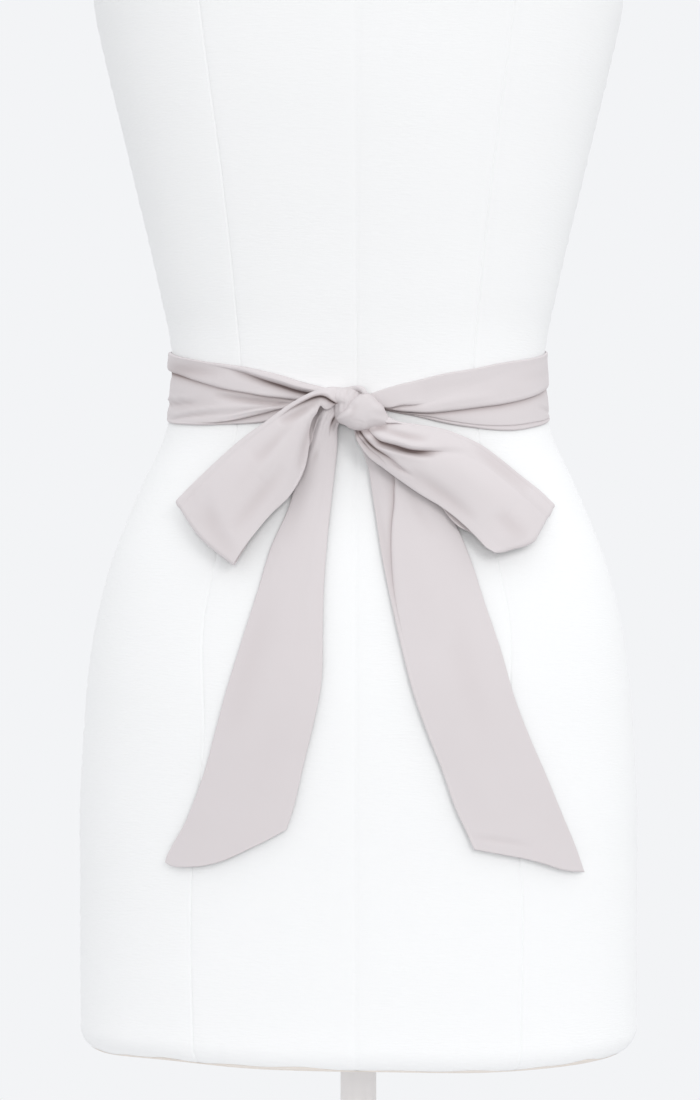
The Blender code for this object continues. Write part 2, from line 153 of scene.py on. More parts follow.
def form_back(x, heights):
    """The form's surface on the bow's side. What hangs below the seat leaves the form little by little."""
    levels = heights + HANG_SHARE * np.maximum(FULLEST_HEIGHT - heights, 0)
    half_width, back, _, squareness = read_table(FORM_LEVELS, levels)
    across = np.clip(np.abs(x) / half_width, 0, 0.999)
    return -back * (1 - across**squareness) ** (1 / squareness)


print("waist", read_table(FORM_LEVELS, 1040).round(1))

# %% [markdown]
# ## Making a mesh from a grid
# Cloth is a surface with a thickness, so each piece is one closed shell: a grid for its outer face,
# extruded as a region for its inner face and edges, and then every point is moved to its place by
# functions. The grid keeps the number of each point in a layer, which the extruded copy inherits. The UV
# map is in metres of cloth, along and across the strip, so that a weave keeps its real size and follows the
# folds.

# %% Grid to mesh
INNER_FACE_SHADE = 0.5  # share of the outer face's painted fold shade


def add_object(name, shape, material, slot=None):
    """A new object: with a slot a piece that rides on the part, and without one a piece of the stage."""
    mesh = bpy.data.meshes.new(name)
    shape.to_mesh(mesh)
    shape.free()
    mesh.materials.append(material)
    mesh.shade_smooth()
    piece = bpy.data.objects.new(name, mesh)
    bpy.context.scene.collection.objects.link(piece)
    if slot:
        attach(piece, "root")
    print(name, len(mesh.polygons), "faces")
    return piece


def grid_shape(points):
    """A grid through points[step][line], given in millimetres. Each point keeps its number."""
    steps, lines = points.shape[:2]
    shape = bmesh.new()
    bmesh.ops.create_grid(shape, x_segments=lines - 1, y_segments=steps - 1, size=0.5)
    number = shape.verts.layers.int.new("grid_point")
    for vertex in shape.verts:
        step = round((vertex.co.y + 0.5) * (steps - 1))
        line = round((vertex.co.x + 0.5) * (lines - 1))
        vertex[number] = step * lines + line
        vertex.co = points[step, line] * MM
    return shape


def lay_uv(piece, outer):
    """UV map in metres, from the distance of each grid point along and across the cloth."""
    mesh = piece.data
    corners = np.empty(len(mesh.loops), int)
    mesh.loops.foreach_get("vertex_index", corners)
    numbers = np.empty(len(mesh.vertices), int)
    mesh.attributes["grid_point"].data.foreach_get("value", numbers)
    along = np.cumsum(np.linalg.norm(np.diff(outer, axis=0, prepend=outer[:1]), axis=2).mean(axis=1))
    across = np.cumsum(np.linalg.norm(np.diff(outer, axis=1, prepend=outer[:, :1]), axis=2), axis=1)
    flat = np.stack((across, along[:, None] + 0 * across), axis=2).reshape(-1, 2) * MM
    mesh.uv_layers.new(name="UVMap").uv.foreach_set("vector", flat[numbers[corners]].ravel())
    print(piece.name, round(float(along[-1])), "mm along")


def cloth_shell(name, outer, inner, tone, material, slot="satin"):
    """A closed shell of cloth between two grids of points, outer[step][line] and inner[step][line].

    The tone is painted shade for lying in a fold, for each point of the outer face, from 0 on the open cloth
    to 1.
    """
    shape = grid_shape(outer)
    # painted shade of each point, for lying in a fold
    painted_shade_layer = shape.verts.layers.float.new("painted_fold_shade")
    number = shape.verts.layers.int["grid_point"]
    inside = inner.reshape(-1, 3) * MM
    shade_amounts = np.clip(np.broadcast_to(tone, outer.shape[:2]), 0, 1).ravel()
    for vertex in shape.verts:
        vertex[painted_shade_layer] = shade_amounts[vertex[number]]
    wall = bmesh.ops.extrude_face_region(shape, geom=shape.faces[:])
    for element in wall["geom"]:
        if isinstance(element, bmesh.types.BMVert):
            element.co = inside[element[number]]
            element[painted_shade_layer] *= INNER_FACE_SHADE
    bmesh.ops.recalc_face_normals(shape, faces=shape.faces[:])
    piece = add_object(name, shape, material, slot)
    lay_uv(piece, outer)
    return piece


# %% [markdown]
# ## Colours and surfaces
# The sash is a soft crepe-backed satin, dusty pink with very little shine. Its threads are finer than the
# eye sees from a step away, but they break up the light, so the material has a fine grain that runs along
# the strip and a slower unevenness in tone. Shade is painted into the folds: a deeper, warmer colour down in
# them, for the shade there and the light that goes from cloth to cloth, and a near-black in the sharpest
# creases. Each point of the cloth carries how much painted shade it gets. The grain is noise in the cloth's
# own UV map, with no picture.

# %% Material helpers
def set_inputs(made, **values):
    """Each named input of a node gets a value, a colour, or what another node gives."""
    for name, value in values.items():
        socket = made.inputs[name.replace("_", " ")]
        if isinstance(value, bpy.types.NodeSocket):
            made.id_data.links.new(value, socket)
        elif socket.type == "RGBA":
            socket.default_value = (*value, 1)
        else:
            socket.default_value = value


def node(tree, kind, **values):
    """A new node with its named properties and inputs set."""
    made = tree.nodes.new(kind)
    for name in [name for name in values if hasattr(made, name)]:
        setattr(made, name, values.pop(name))
    set_inputs(made, **values)
    return made


def new_material(name):
    material = bpy.data.materials.new(name)
    material.use_nodes = True
    return material, material.node_tree, material.node_tree.nodes["Principled BSDF"]


def noise(source, scale, detail=2.0):
    """Noise on coordinates that are first stretched by a factor along each axis."""
    tree = source.id_data
    stretched = node(tree, "ShaderNodeMapping", Vector=source, Scale=scale).outputs[0]
    return node(tree, "ShaderNodeTexNoise", Vector=stretched, Scale=1.0, Detail=detail).outputs["Fac"]


def ranged(value, low, high, start=0.0, end=1.0):
    """A value between start and end, moved to another range."""
    sides = {"From_Min": start, "From_Max": end, "To_Min": low, "To_Max": high}
    return node(value.id_data, "ShaderNodeMapRange", Value=value, **sides).outputs["Result"]


def blended(value, first, second):
    """A colour between two colours."""
    mix = node(value.id_data, "ShaderNodeMix", data_type="RGBA", Factor=value, A=first, B=second)
    return mix.outputs["Result"]


def bumped(height, distance, strength, **below):
    """The normal that a height gives, on top of another one if that is named."""
    settings = {"Height": height, "Distance": distance, "Strength": strength}
    return node(height.id_data, "ShaderNodeBump", **settings, **below).outputs["Normal"]


# %% Satin
SATIN = (0.651, 0.608, 0.614)
SATIN_DEEP = (0.629, 0.585, 0.591)
# painted shade: the darker, warmer colour down in the folds
SATIN_FOLD_SHADE = (0.400, 0.330, 0.325)
SATIN_CREASE_SHADE = (0.150, 0.105, 0.098)  # painted shade, near-black, in the sharpest creases only
CREASE_SHADE_FROM = 0.55  # painted fold shade at which the darker painted crease shade begins
CREASE_SHADE_SHARE = 0.8  # share of the painted crease shade at the full painted shade
THREAD_WIDTH = 0.00028
THREAD_LENGTH = 0.0024
CREPE_GRAIN = 0.0007
PATCHES = 22  # of slow unevenness, to a metre


def make_satin():
    """Dusty pink satin: fine threads along the strip over a small crepe grain, with shade painted into its
    folds.
    """
    material, tree, shader = new_material("satin")
    cloth = node(tree, "ShaderNodeUVMap", uv_map="UVMap").outputs["UV"]
    place = node(tree, "ShaderNodeTexCoord").outputs["Object"]
    # how much painted shade each point of the cloth gets for lying in a fold
    shade_in_fold = node(tree, "ShaderNodeAttribute", attribute_name="painted_fold_shade").outputs["Fac"]
    threads = noise(cloth, (1 / THREAD_WIDTH, 1 / THREAD_LENGTH, 1))
    grain = noise(cloth, (1 / CREPE_GRAIN, 1 / CREPE_GRAIN, 1), detail=3)
    open_cloth = blended(noise(place, (PATCHES,) * 3, detail=3), SATIN, SATIN_DEEP)
    # painted shade: the colour goes darker and warmer in folds and near-black in the sharpest creases
    shade_in_crease = ranged(shade_in_fold, 0.0, CREASE_SHADE_SHARE, CREASE_SHADE_FROM)
    set_inputs(
        shader,
        Base_Color=blended(shade_in_crease, blended(shade_in_fold, open_cloth, SATIN_FOLD_SHADE), SATIN_CREASE_SHADE),
        Roughness=ranged(grain, 0.52, 0.68),
        Specular_IOR_Level=0.28,
        Sheen_Weight=0.03,
        Sheen_Roughness=0.45,
        Normal=bumped(grain, 0.00006, 0.4, Normal=bumped(threads, 0.00004, 0.5)),
    )
    return material


satin = make_satin()
print("satin", SATIN)

# %% [markdown]
# The form is covered in plain white linen. Its warp threads run up the body and its weft threads round it.
# The form is nearly a turned shape, so the warp is a wave of the angle about the upright axis, a whole
# number of times round, and the weft a wave of the height. Longer noise along each makes single threads
# thicker, as in real linen.

# %% Linen
LINEN = (0.862, 0.864, 0.862)
LINEN_SHADE = (0.840, 0.842, 0.842)
WARP_THREADS = 1500
WEFT_PITCH = 0.0007
THREAD_WANDER, WANDERS = 14.0, 240  # how far a thread strays from its even place, as a phase, and how often
SLUBS = (170, 170, 900)  # thick spots, to a metre
LINEN_PATCHES = 9  # of slow unevenness, to a metre


def math_node(operation, first, *others):
    """A sum on what a node gives."""
    made = node(first.id_data, "ShaderNodeMath", operation=operation)
    for socket, value in zip(made.inputs, (first, *others)):
        if isinstance(value, bpy.types.NodeSocket):
            first.id_data.links.new(value, socket)
        else:
            socket.default_value = value
    return made.outputs[0]


def make_linen():
    """White linen: crossing threads with slubs, on the object's own coordinates."""
    material, tree, shader = new_material("linen")
    place = node(tree, "ShaderNodeTexCoord").outputs["Object"]
    x, y, z = node(tree, "ShaderNodeSeparateXYZ", Vector=place).outputs
    wander = math_node("MULTIPLY", noise(place, (WANDERS,) * 3, detail=3), THREAD_WANDER)
    warp = math_node("SINE", math_node("MULTIPLY_ADD", math_node("ARCTAN2", x, y), WARP_THREADS, wander))
    weft = math_node("SINE", math_node("MULTIPLY_ADD", z, 2 * math.pi / WEFT_PITCH, wander))
    slubs = noise(place, SLUBS, detail=4)
    weave = bumped(math_node("MAXIMUM", warp, weft), 0.00003, 0.22)
    set_inputs(
        shader,
        Base_Color=blended(noise(place, (LINEN_PATCHES,) * 3, detail=3), LINEN, LINEN_SHADE),
        Roughness=ranged(slubs, 0.82, 0.95),
        Specular_IOR_Level=0.2,
        Normal=bumped(slubs, 0.0003, 0.5, Normal=weave),
    )
    return material


linen = make_linen()
print("linen", LINEN)

# %% [markdown]
# The pole and the foot are painted steel, off-white with a soft gloss. Real paint is never quite even, so
# its gloss varies slowly and the film has a faint orange-peel bump. The hem tape is unbleached cotton.

# %% Paint and tape
PAINT = (0.76, 0.73, 0.715)
PAINT_WORN = (0.71, 0.68, 0.665)
TAPE = (0.80, 0.75, 0.70)
TAPE_SHADE = (0.72, 0.66, 0.60)
MOTTLES, GLOSS_SPREAD = 30, 0.06


def make_mottled(name, colour, other, roughness, cell, bump_height):
    """A plain coloured surface whose tone, gloss and height vary a little from place to place."""
    material, tree, shader = new_material(name)
    place = node(tree, "ShaderNodeTexCoord").outputs["Object"]
    tone = noise(place, (MOTTLES,) * 3, detail=4)
    set_inputs(
        shader,
        Base_Color=blended(tone, colour, other),
        Roughness=ranged(tone, roughness - GLOSS_SPREAD, roughness + GLOSS_SPREAD),
        Normal=bumped(noise(place, (1 / cell,) * 3), bump_height, 0.4),
    )
    return material


paint = make_mottled("stand paint", PAINT, PAINT_WORN, 0.42, 0.002, 0.00003)
tape = make_mottled("hem tape cotton", TAPE, TAPE_SHADE, 0.9, 0.0008, 0.0001)
print("paint", PAINT, "tape", TAPE)

# %% [markdown]
# ## The woven cover of the form
# The cover is sewn from eight panels: a seam down the middle of the back and of the front, one down each
# side, and a curved seam between each pair. A seam is a narrow groove with the cloth puffed a little beside
# it, which an even grid would miss. So the columns of this grid follow the seams: five columns at each
# seam, an even spread between them. The seams at the sides are gathered, which shows as small ripples at
# the outline.

# %% Seams of the cover
# height, distance of the seam from the middle at the back, and at the front
CURVED_SEAMS = (
    (593, 105, 100), (721, 105, 99), (797, 97.5, 96), (887, 96.5, 90), (914, 91, 86), (985, 80, 74),
    (1051, 76, 66), (1064, 77.2, 67), (1127, 83, 72), (1164, 87, 75), (1234, 96, 76), (1300, 104, 84),
    (1400, 112, 96),
)
# turn from the seam line in radians, height of the cloth there
SEAM_PROFILE = ((-0.012, 0.0), (-0.005, -0.2), (0.0, -0.6), (0.005, -0.2), (0.012, 0.0))
WIDEST_SEAM = 0.72  # share of the half width that a curved seam keeps within
PANEL_COLUMNS = 17
PUFF_BESIDE_SEAM = 0.14
PUFF_FADE = 1.6  # in columns
COVER_PITCH = 4.0
RIPPLE = 0.55  # of the gathers at a side seam
GATHER_FADE = 7.0
RIPPLE_PERIODS = (8.6, 13.1)
BUST = (75.0, 1217.0, 38.0, 46.0, 11.0)  # x, height, reach across, reach up and down, fullness
BUST_FROM = 40.0  # y at which its fullness is whole
ARM_CUT = (176.0, 1300.0)  # x and height on the flat plane that takes off each arm
ARM_CUT_LEAN = math.radians(5.0)
ARM_CUT_REACH = 200.0
ARM_EDGE = 1.6  # rounding of the edge round that plane
SHOULDER, SHOULDER_FADE = 1425.0, 20.0  # the seams end there
NECK_SEAM, NECK_SEAM_DEPTH, NECK_SEAM_REACH = 1452.0, 0.7, 2.5
HEM_BOTTOM, HEM_RADIUS = 590.2, 15.0  # lowest height of the cover and rounding of its lower edge
HEM_RINGS = 10
UNDERSIDE, UNDERSIDE_STEP = 593.0, 4.0  # height of the ring inside the rounded edge and its distance from it
HEM_REACH = 60.0  # height over which the unevenness of the hem fades out
# angle from the middle of the back, how far the hem hangs down there
HEM_DROP = (
    (-180, 0), (-90, 0), (-68, -1.2), (-42, -3), (-18, -0.6), (5, 0.4),
    (24, 2), (45, 1.6), (70, 0.6), (90, 0), (180, 0),
)


def hem_round(turn, lift=0.0):
    """Height and lift on the rounded lower edge. Turn 0 is its side and 90 degrees its underside."""
    reach = HEM_RADIUS + lift
    return HEM_BOTTOM + HEM_RADIUS - reach * np.sin(turn), reach * np.cos(turn) - HEM_RADIUS


def hem_drop(angles, heights):
    """How far the cover is pulled down at each point near its uneven lower edge."""
    degrees = (np.degrees(angles) + 180) % 360 - 180
    fade = np.clip((HEM_BOTTOM + HEM_REACH - heights) / (HEM_REACH - HEM_RADIUS), 0, 1)
    return read_table(HEM_DROP, degrees)[0] * fade * fade * (3 - 2 * fade)


def seam_angle(distance, heights):
    """Turn about the upright axis at which a seam lies, from its distance from the middle."""
    half_width, _, _, squareness = read_table(FORM_LEVELS, heights)
    share = np.clip(distance / half_width, 0, WIDEST_SEAM)
    return np.arcsin(share ** (squareness / 2))


def cover_columns(heights):
    """Angle of each column at each height, height of the cloth there, and nearness to a side seam."""
    back, front = [seam_angle(distance, heights) for distance in read_table(CURVED_SEAMS, heights)]
    half_turn = np.full(len(heights), math.pi)
    seams = [half_turn * 0, back, half_turn / 2, half_turn - front, half_turn]
    seams += [2 * math.pi - seam for seam in seams[-2::-1]]
    columns = []
    for index, (seam, following) in enumerate(zip(seams, seams[1:])):
        after_side, before_side = float(index in (2, 6)), float(index in (1, 5))
        start, end = seam + SEAM_PROFILE[-1][0], following + SEAM_PROFILE[0][0]
        columns += [(seam + turn, height, after_side) for turn, height in SEAM_PROFILE[2:]]
        for step in range(1, PANEL_COLUMNS + 1):
            share = step / (PANEL_COLUMNS + 1)
            puff = PUFF_BESIDE_SEAM * math.exp(-min(step, PANEL_COLUMNS + 1 - step) / PUFF_FADE)
            near_side = max(0, 1 - abs(1 - after_side - share) * GATHER_FADE) * (after_side + before_side)
            columns.append((start + (end - start) * share, puff, near_side))
        columns += [(following + turn, height, before_side) for turn, height in SEAM_PROFILE[:2]]
    angles, lifts, sides = zip(*columns)
    return np.array(angles).T, np.array(lifts), np.array(sides)


def bell(distance, reach):
    """A smooth swell: 1 in the middle and nearly 0 at twice the reach."""
    return np.exp(-((distance / reach) ** 2))


def cover_points():
    """Rings of points on the cover, from inside its lower edge up to the neck."""
    low, high = HEM_BOTTOM + HEM_RADIUS, FORM_LEVELS[-1][0]
    hem_heights, hem_lifts = hem_round(np.linspace(math.pi / 2, 0, HEM_RINGS, endpoint=False))
    rest = np.linspace(low, high, round((high - low) / COVER_PITCH) + 1)
    heights = np.concatenate(([UNDERSIDE], hem_heights, rest))
    drawn_in = np.concatenate(([hem_lifts[0] - UNDERSIDE_STEP], hem_lifts, 0 * rest))
    angles, lifts, sides = cover_columns(heights)
    level = np.repeat(heights[:, None], angles.shape[1], axis=1)
    below_shoulder = np.clip((SHOULDER - level) / SHOULDER_FADE, 0, 1)
    waves = [np.sin(2 * math.pi * level / period + index) for index, period in enumerate(RIPPLE_PERIODS)]
    gathers = sum(waves) / 2
    lift = lifts * below_shoulder + RIPPLE * sides * gathers * below_shoulder
    lift = lift + drawn_in[:, None] - NECK_SEAM_DEPTH * bell(level - NECK_SEAM, NECK_SEAM_REACH)
    x, y = around_form(angles, level, lift)
    bust_x, bust_height, across, upright, fullness = BUST
    swell = bell(level - bust_height, upright) * bell(np.abs(x) - bust_x, across)
    y = y + fullness * swell * np.clip(y / BUST_FROM, 0, 1)
    plane = ARM_CUT[0] - (level - ARM_CUT[1]) * math.tan(ARM_CUT_LEAN)
    cut = np.abs(x) - ARM_EDGE * np.logaddexp(0, (np.abs(x) - plane) / ARM_EDGE)
    x = np.where(np.abs(level - ARM_CUT[1]) < ARM_CUT_REACH, np.sign(x) * cut, x)
    return np.stack((x, y, level - hem_drop(angles, level) * (level != UNDERSIDE)), axis=2)


# %% Cover of the form
COVER_CORNER = math.radians(40)


def wrapped_grid(name, points, material, slot):
    """A grid of rings, points[ring][column], welded where it meets, with its two ends closed."""
    shape = grid_shape(np.concatenate((points, points[:, :1]), axis=1))
    bmesh.ops.remove_doubles(shape, verts=shape.verts[:], dist=WELD)
    bmesh.ops.holes_fill(shape, edges=[edge for edge in shape.edges if edge.is_boundary])
    bmesh.ops.recalc_face_normals(shape, faces=shape.faces[:])
    return add_object(name, shape, material, slot)


cover = wrapped_grid("form_cover", cover_points(), linen, "linen")
cover.data.set_sharp_from_angle(angle=COVER_CORNER)
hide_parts("form_body")

# %% [markdown]
# The lower edge of the cover is rounded and bound with a narrow tape of unbleached cotton that is turned
# under, so only a thin line of it shows from the side. It was put on by hand, so its edge wanders and is
# lost to sight here and there. It is a thin shell all round, made as the cloth is.

# %% Hem tape
TAPE_STEPS = 240
TAPE_TOP, TAPE_INNER = math.radians(60), math.radians(94)  # where its two edges lie on the rounded lower edge
TAPE_WALL, TAPE_GAP = 0.4, 0.04
TAPE_THINNING = 0.85  # share of the wall that is gone at its upper edge
TAPE_LINES = 6
# how far its upper edge wanders, in radians, how many times round, where it starts
TAPE_WANDER = ((0.08, 5, 0), (0.07, 11, 1), (0.07, 23, 2))


def make_hem_tape():
    angles = np.linspace(0, 2 * math.pi, TAPE_STEPS + 1)[:, None]
    share = np.linspace(0, 1, TAPE_LINES)
    top = TAPE_TOP + sum(size * np.sin(waves * angles + start) for size, waves, start in TAPE_WANDER)
    place = TAPE_INNER + (top - TAPE_INNER) * share
    grids = []
    for wall in (TAPE_WALL, 0.0):
        level, out = hem_round(place, TAPE_GAP + wall * (1 - TAPE_THINNING * share**3))
        x, y = around_form(angles, level, out)
        grids.append(np.stack((x, y, level - hem_drop(angles, level)), axis=2))
    cloth_shell("form_hem_tape", *grids, 0, tape, "linen")


make_hem_tape()

# %% [markdown]
# ## The stand
# The pole and the foot are turned, so each is half an outline spun about the upright axis. A full spin
# merges its last ring with its first. The points on the axis come out once for every step, so they are
# merged afterwards, and then the faces are turned outwards.

# %% Pole and foot
SPIN_STEPS = 96
STAND_CORNER = math.radians(35)


def turned(name, profile, replaced):
    """A piece from half of its outline, given as radius and height from the top of the axis to its foot."""
    shape = bmesh.new()
    points = [shape.verts.new((radius * MM, 0, height * MM)) for radius, height in profile]
    for upper, lower in zip(points, points[1:]):
        shape.edges.new((upper, lower))
    bmesh.ops.spin(
        shape,
        geom=shape.verts[:] + shape.edges[:],
        cent=(0, 0, 0),
        axis=(0, 0, 1),
        angle=2 * math.pi,
        steps=SPIN_STEPS,
        use_merge=True,
    )
    bmesh.ops.remove_doubles(shape, verts=shape.verts[:], dist=WELD)
    bmesh.ops.recalc_face_normals(shape, faces=shape.faces[:])
    piece = add_object(name, shape, paint, "stand_paint")
    piece.data.set_sharp_from_angle(angle=STAND_CORNER)
    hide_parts(replaced)


def rounded(corner_radius, corner_height, radius, steps=6):
    """Quarter circle from the level top of an outer corner down to its upright side."""
    inner, low = corner_radius - radius, corner_height - radius
    turns = [math.pi / 2 * step / steps for step in range(steps + 1)]
    return [(inner + radius * math.sin(turn), low + radius * math.cos(turn)) for turn in turns]


POLE_RADIUS, HEAD_RADIUS, FOOT_RADIUS = 12.0, 38.0, 200.0
HEAD_TOP, BOSS_TOP, RIM_TOP = 592.7, 34.0, 7.2
POLE_END = BOSS_TOP + 0.3  # a thin gap over the foot
turned(
    "pole",
    [(0, HEAD_TOP)]
    + rounded(HEAD_RADIUS, HEAD_TOP, 1.0)
    + [(HEAD_RADIUS, 588), (POLE_RADIUS + 3, 585.5), (POLE_RADIUS + 1, 583.5), (POLE_RADIUS, 580)]
    + [(POLE_RADIUS, POLE_END), (0, POLE_END)],
    "stand_pole",
)
turned(
    "foot",
    [(0, BOSS_TOP), (POLE_RADIUS + 0.2, BOSS_TOP)]
    + rounded(21, BOSS_TOP, 2.5)
    + [(22, 26), (23.5, 20), (25.5, 16.5), (29, 14), (34, 12.9), (60, 11.5), (130, 9.5), (180, 7.9)]
    + rounded(FOOT_RADIUS, RIM_TOP, 5.0, 8)
    + [(FOOT_RADIUS, 1.2), (FOOT_RADIUS - 1.2, 0), (0, 0)],
    "stand_base",
)

# %% [markdown]
# ## Laps and soft folds
# A pleat that lies over the next one ends in a sharp, rounded edge with the cloth tucked back under it.
# That edge is called a lap here. Sharp edges only look sharp if lines of the mesh run along them, so the
# lines across a strip follow its laps, with a small fixed profile at each: over the rounded edge, back
# under it, and out again on the covered pleat. Lines between laps crowd gently towards them. Softer troughs
# and ridges are added to the height as bell-shaped furrows that fade towards both ends.

# %% Lines across a strip
WALL = 1.0  # thickness of the doubled cloth
EDGE_LINES = (0.0, 0.12, 0.45, 1.0)  # lines beside each edge, to round it
# distance past the lap line when flat, the same when folded, share of the lap's rise
LAP_PROFILE = (
    (-2.4, -2.4, 1), (-1.2, -1.2, 0.98), (-0.5, -0.4, 0.84), (-0.2, 0, 0.56), (0, 0, 0.3),
    (0.15, -0.5, 0.08), (0.3, -0.7, 0), (0.55, 0.1, 0), (1.2, 1.2, 0),
)
LAP_BEFORE = 2.4
SMALLEST_LAP = 0.02
ROOM = 2.1  # a lap's profile shrinks where its neighbours are closer than this many times its size
FOLDED_RISE = 0.8  # rise at which the cloth is tucked back all the way
LAP_DIP, DIP_SHARE = 1.2, 0.45  # dip of the covered pleat: its most, and its share of the rise
DIP_REACH, DIP_REACH_ABOVE = 3.5, 0.4
# rise of a lap at which its painted shade is full
FULL_SHADE_RISE = 2.6
SHADE_UNDER, SHADE_OVER = 1.8, 0.5  # how far the painted shade of a lap reaches on the covered pleat and on the one over it
HIDDEN_UNDER = 0.6  # share of a lap's size that its own edge hides
SOFT_SHADE, SOFT_SHADE_MOST = 0.17, 0.5  # painted shade for each millimetre of depth of a soft trough, and its most
EDGE_LEFT = 0.2  # share of the thickness that is left at the very edge
PUFF_POWER, FADE_POWER = 1.5, 0.7  # of the swell of a puff, and of the fade to the ends of a soft fold


def between(start, end, count):
    """That many lines between two lines, crowded gently towards both."""
    shares = [(1 - math.cos(math.pi * step / (count + 1))) / 2 for step in range(1, count + 1)]
    return [start + (end - start) * share for share in shares]


def lines_across(width, laps, fills, puffs):
    """Lines from one edge of a strip to the other, for the width at each step as a column.

    A lap is (distance of its line from the first edge, rise, side, reach, size). Side 1 has the pleat before
    the line on top and side -1 the one after it. The rise dies away over the reach, and the covered pleat
    dips a little where it goes under. Returns, for each step and line, the distance from the first edge when
    flat, the same with the laps folded, the height that laps and puffs add, and the painted shade of the
    folds.
    """
    flat = [width * 0 + edge for edge in EDGE_LINES]
    folded = list(flat)
    last = width - EDGE_LINES[-1]
    lines = [EDGE_LINES[-1]] + [lap[0] for lap in laps] + [last]
    profiles = []
    for index, (place, rise, side, _, wanted) in enumerate(laps):
        size = np.minimum(place - lines[index], lines[index + 2] - place) / (LAP_BEFORE * ROOM)
        size = np.clip(size, SMALLEST_LAP, wanted)
        profile = [(side * flat_at, side * fold_at, share) for flat_at, fold_at, share in LAP_PROFILE[::side]]
        filling = between(flat[-1], place + profile[0][0] * size, fills[index])
        profiles.append((len(flat) + len(filling), size, [share for _, _, share in profile]))
        sharpness = np.clip(rise / FOLDED_RISE, 0, 1) / np.maximum(wanted, 1)
        flat += filling + [place + flat_at * size for flat_at, _, _ in profile]
        folded += filling + [
            place + (flat_at + (fold_at - flat_at) * sharpness) * size for flat_at, fold_at, _ in profile
        ]
    ending = between(flat[-1], last, fills[-1]) + [width - edge for edge in reversed(EDGE_LINES)]
    flat, folded = np.hstack(flat + ending), np.hstack(folded + ending)

    height, tone = np.zeros_like(flat), np.zeros_like(flat)
    # painted shade: darkest just under each lap's edge, fading over the pleat it covers and, sooner, over the
    # pleat on top
    shade_over_reach = SHADE_OVER * max(laps[-1][-1], 1)
    for (place, rise, side, reach, _), (first, size, shares) in zip(laps, profiles):
        above = side * (place - flat)
        share = np.where(above > 0, np.exp(-np.maximum(above - LAP_BEFORE * size, 0) / reach), 0)
        share[:, first : first + len(shares)] = shares
        dip = np.minimum(rise * DIP_SHARE, LAP_DIP) * np.exp(-np.abs(above) / DIP_REACH)
        height += rise * share - np.where(above < 0, dip, dip * np.exp(-np.abs(above) / DIP_REACH_ABOVE))
        under = np.maximum(-above - HIDDEN_UNDER * size, 0) / SHADE_UNDER
        away = np.where(above < 0, under, above / shade_over_reach)
        tone += np.clip(rise / FULL_SHADE_RISE, 0, 1) * np.exp(-away)
    borders = [width * 0] + [lap[0] for lap in laps] + [width]
    for low, high, puff in zip(borders, borders[1:], puffs):
        across = (flat - low) / np.maximum(high - low, 0.1)
        inside = (across > 0) & (across < 1)
        height += np.where(inside, puff * np.abs(4 * across * (1 - across)) ** PUFF_POWER, 0)
    return flat, folded, height, tone


def rounded_edge(flat, width):
    """Share of the full thickness, which falls away in a half round at both edges."""
    inward = np.clip(np.minimum(flat, width - flat) / EDGE_LINES[-1], 0, 1)
    return np.maximum(np.sqrt(1 - (1 - inward) ** 2), EDGE_LEFT)


def soft_folds(u, v, folds):
    """Height that soft troughs and ridges add. Each runs between two points, bowed to a side."""
    total = np.zeros_like(u)
    for u0, v0, u1, v1, bow, height, half_width in folds:
        length = math.hypot(u1 - u0, v1 - v0)
        along = ((u - u0) * (u1 - u0) + (v - v0) * (v1 - v0)) / length**2
        aside = ((u - u0) * (v1 - v0) - (v - v0) * (u1 - u0)) / length
        within = np.clip(along, 0, 1)
        aside = aside - bow * 4 * within * (1 - within)
        total += height * np.sin(math.pi * within) ** FADE_POWER * bell(aside, half_width)
    return total


def painted_fold_shade(height):
    """Painted shade of soft troughs, from the height that soft folds add."""
    return np.clip(-height * SOFT_SHADE, 0, SOFT_SHADE_MOST)


def read_lap(rows, at):
    """Place and rise of a lap along a strip, with no rise below zero."""
    place, rise = read_table(rows, at)
    return place, np.maximum(rise, 0)


# %% [markdown]
# ## The band round the waist
# Pulled tight, the flat strip creases into three pleats that overlap downward like shingles: a roll along
# the top edge, a broad middle pleat and a narrow hem pleat. They run all the way round and crowd together
# at the knot. The band could be draped by simulation, but a wide strip pulled this tight keeps its pleats
# where they were laid, so they are listed: one row of the table for each section, by its angle from the
# knot.

# %% Band
BAND_STEPS = 440
BAND_CLEARANCE = 0.35
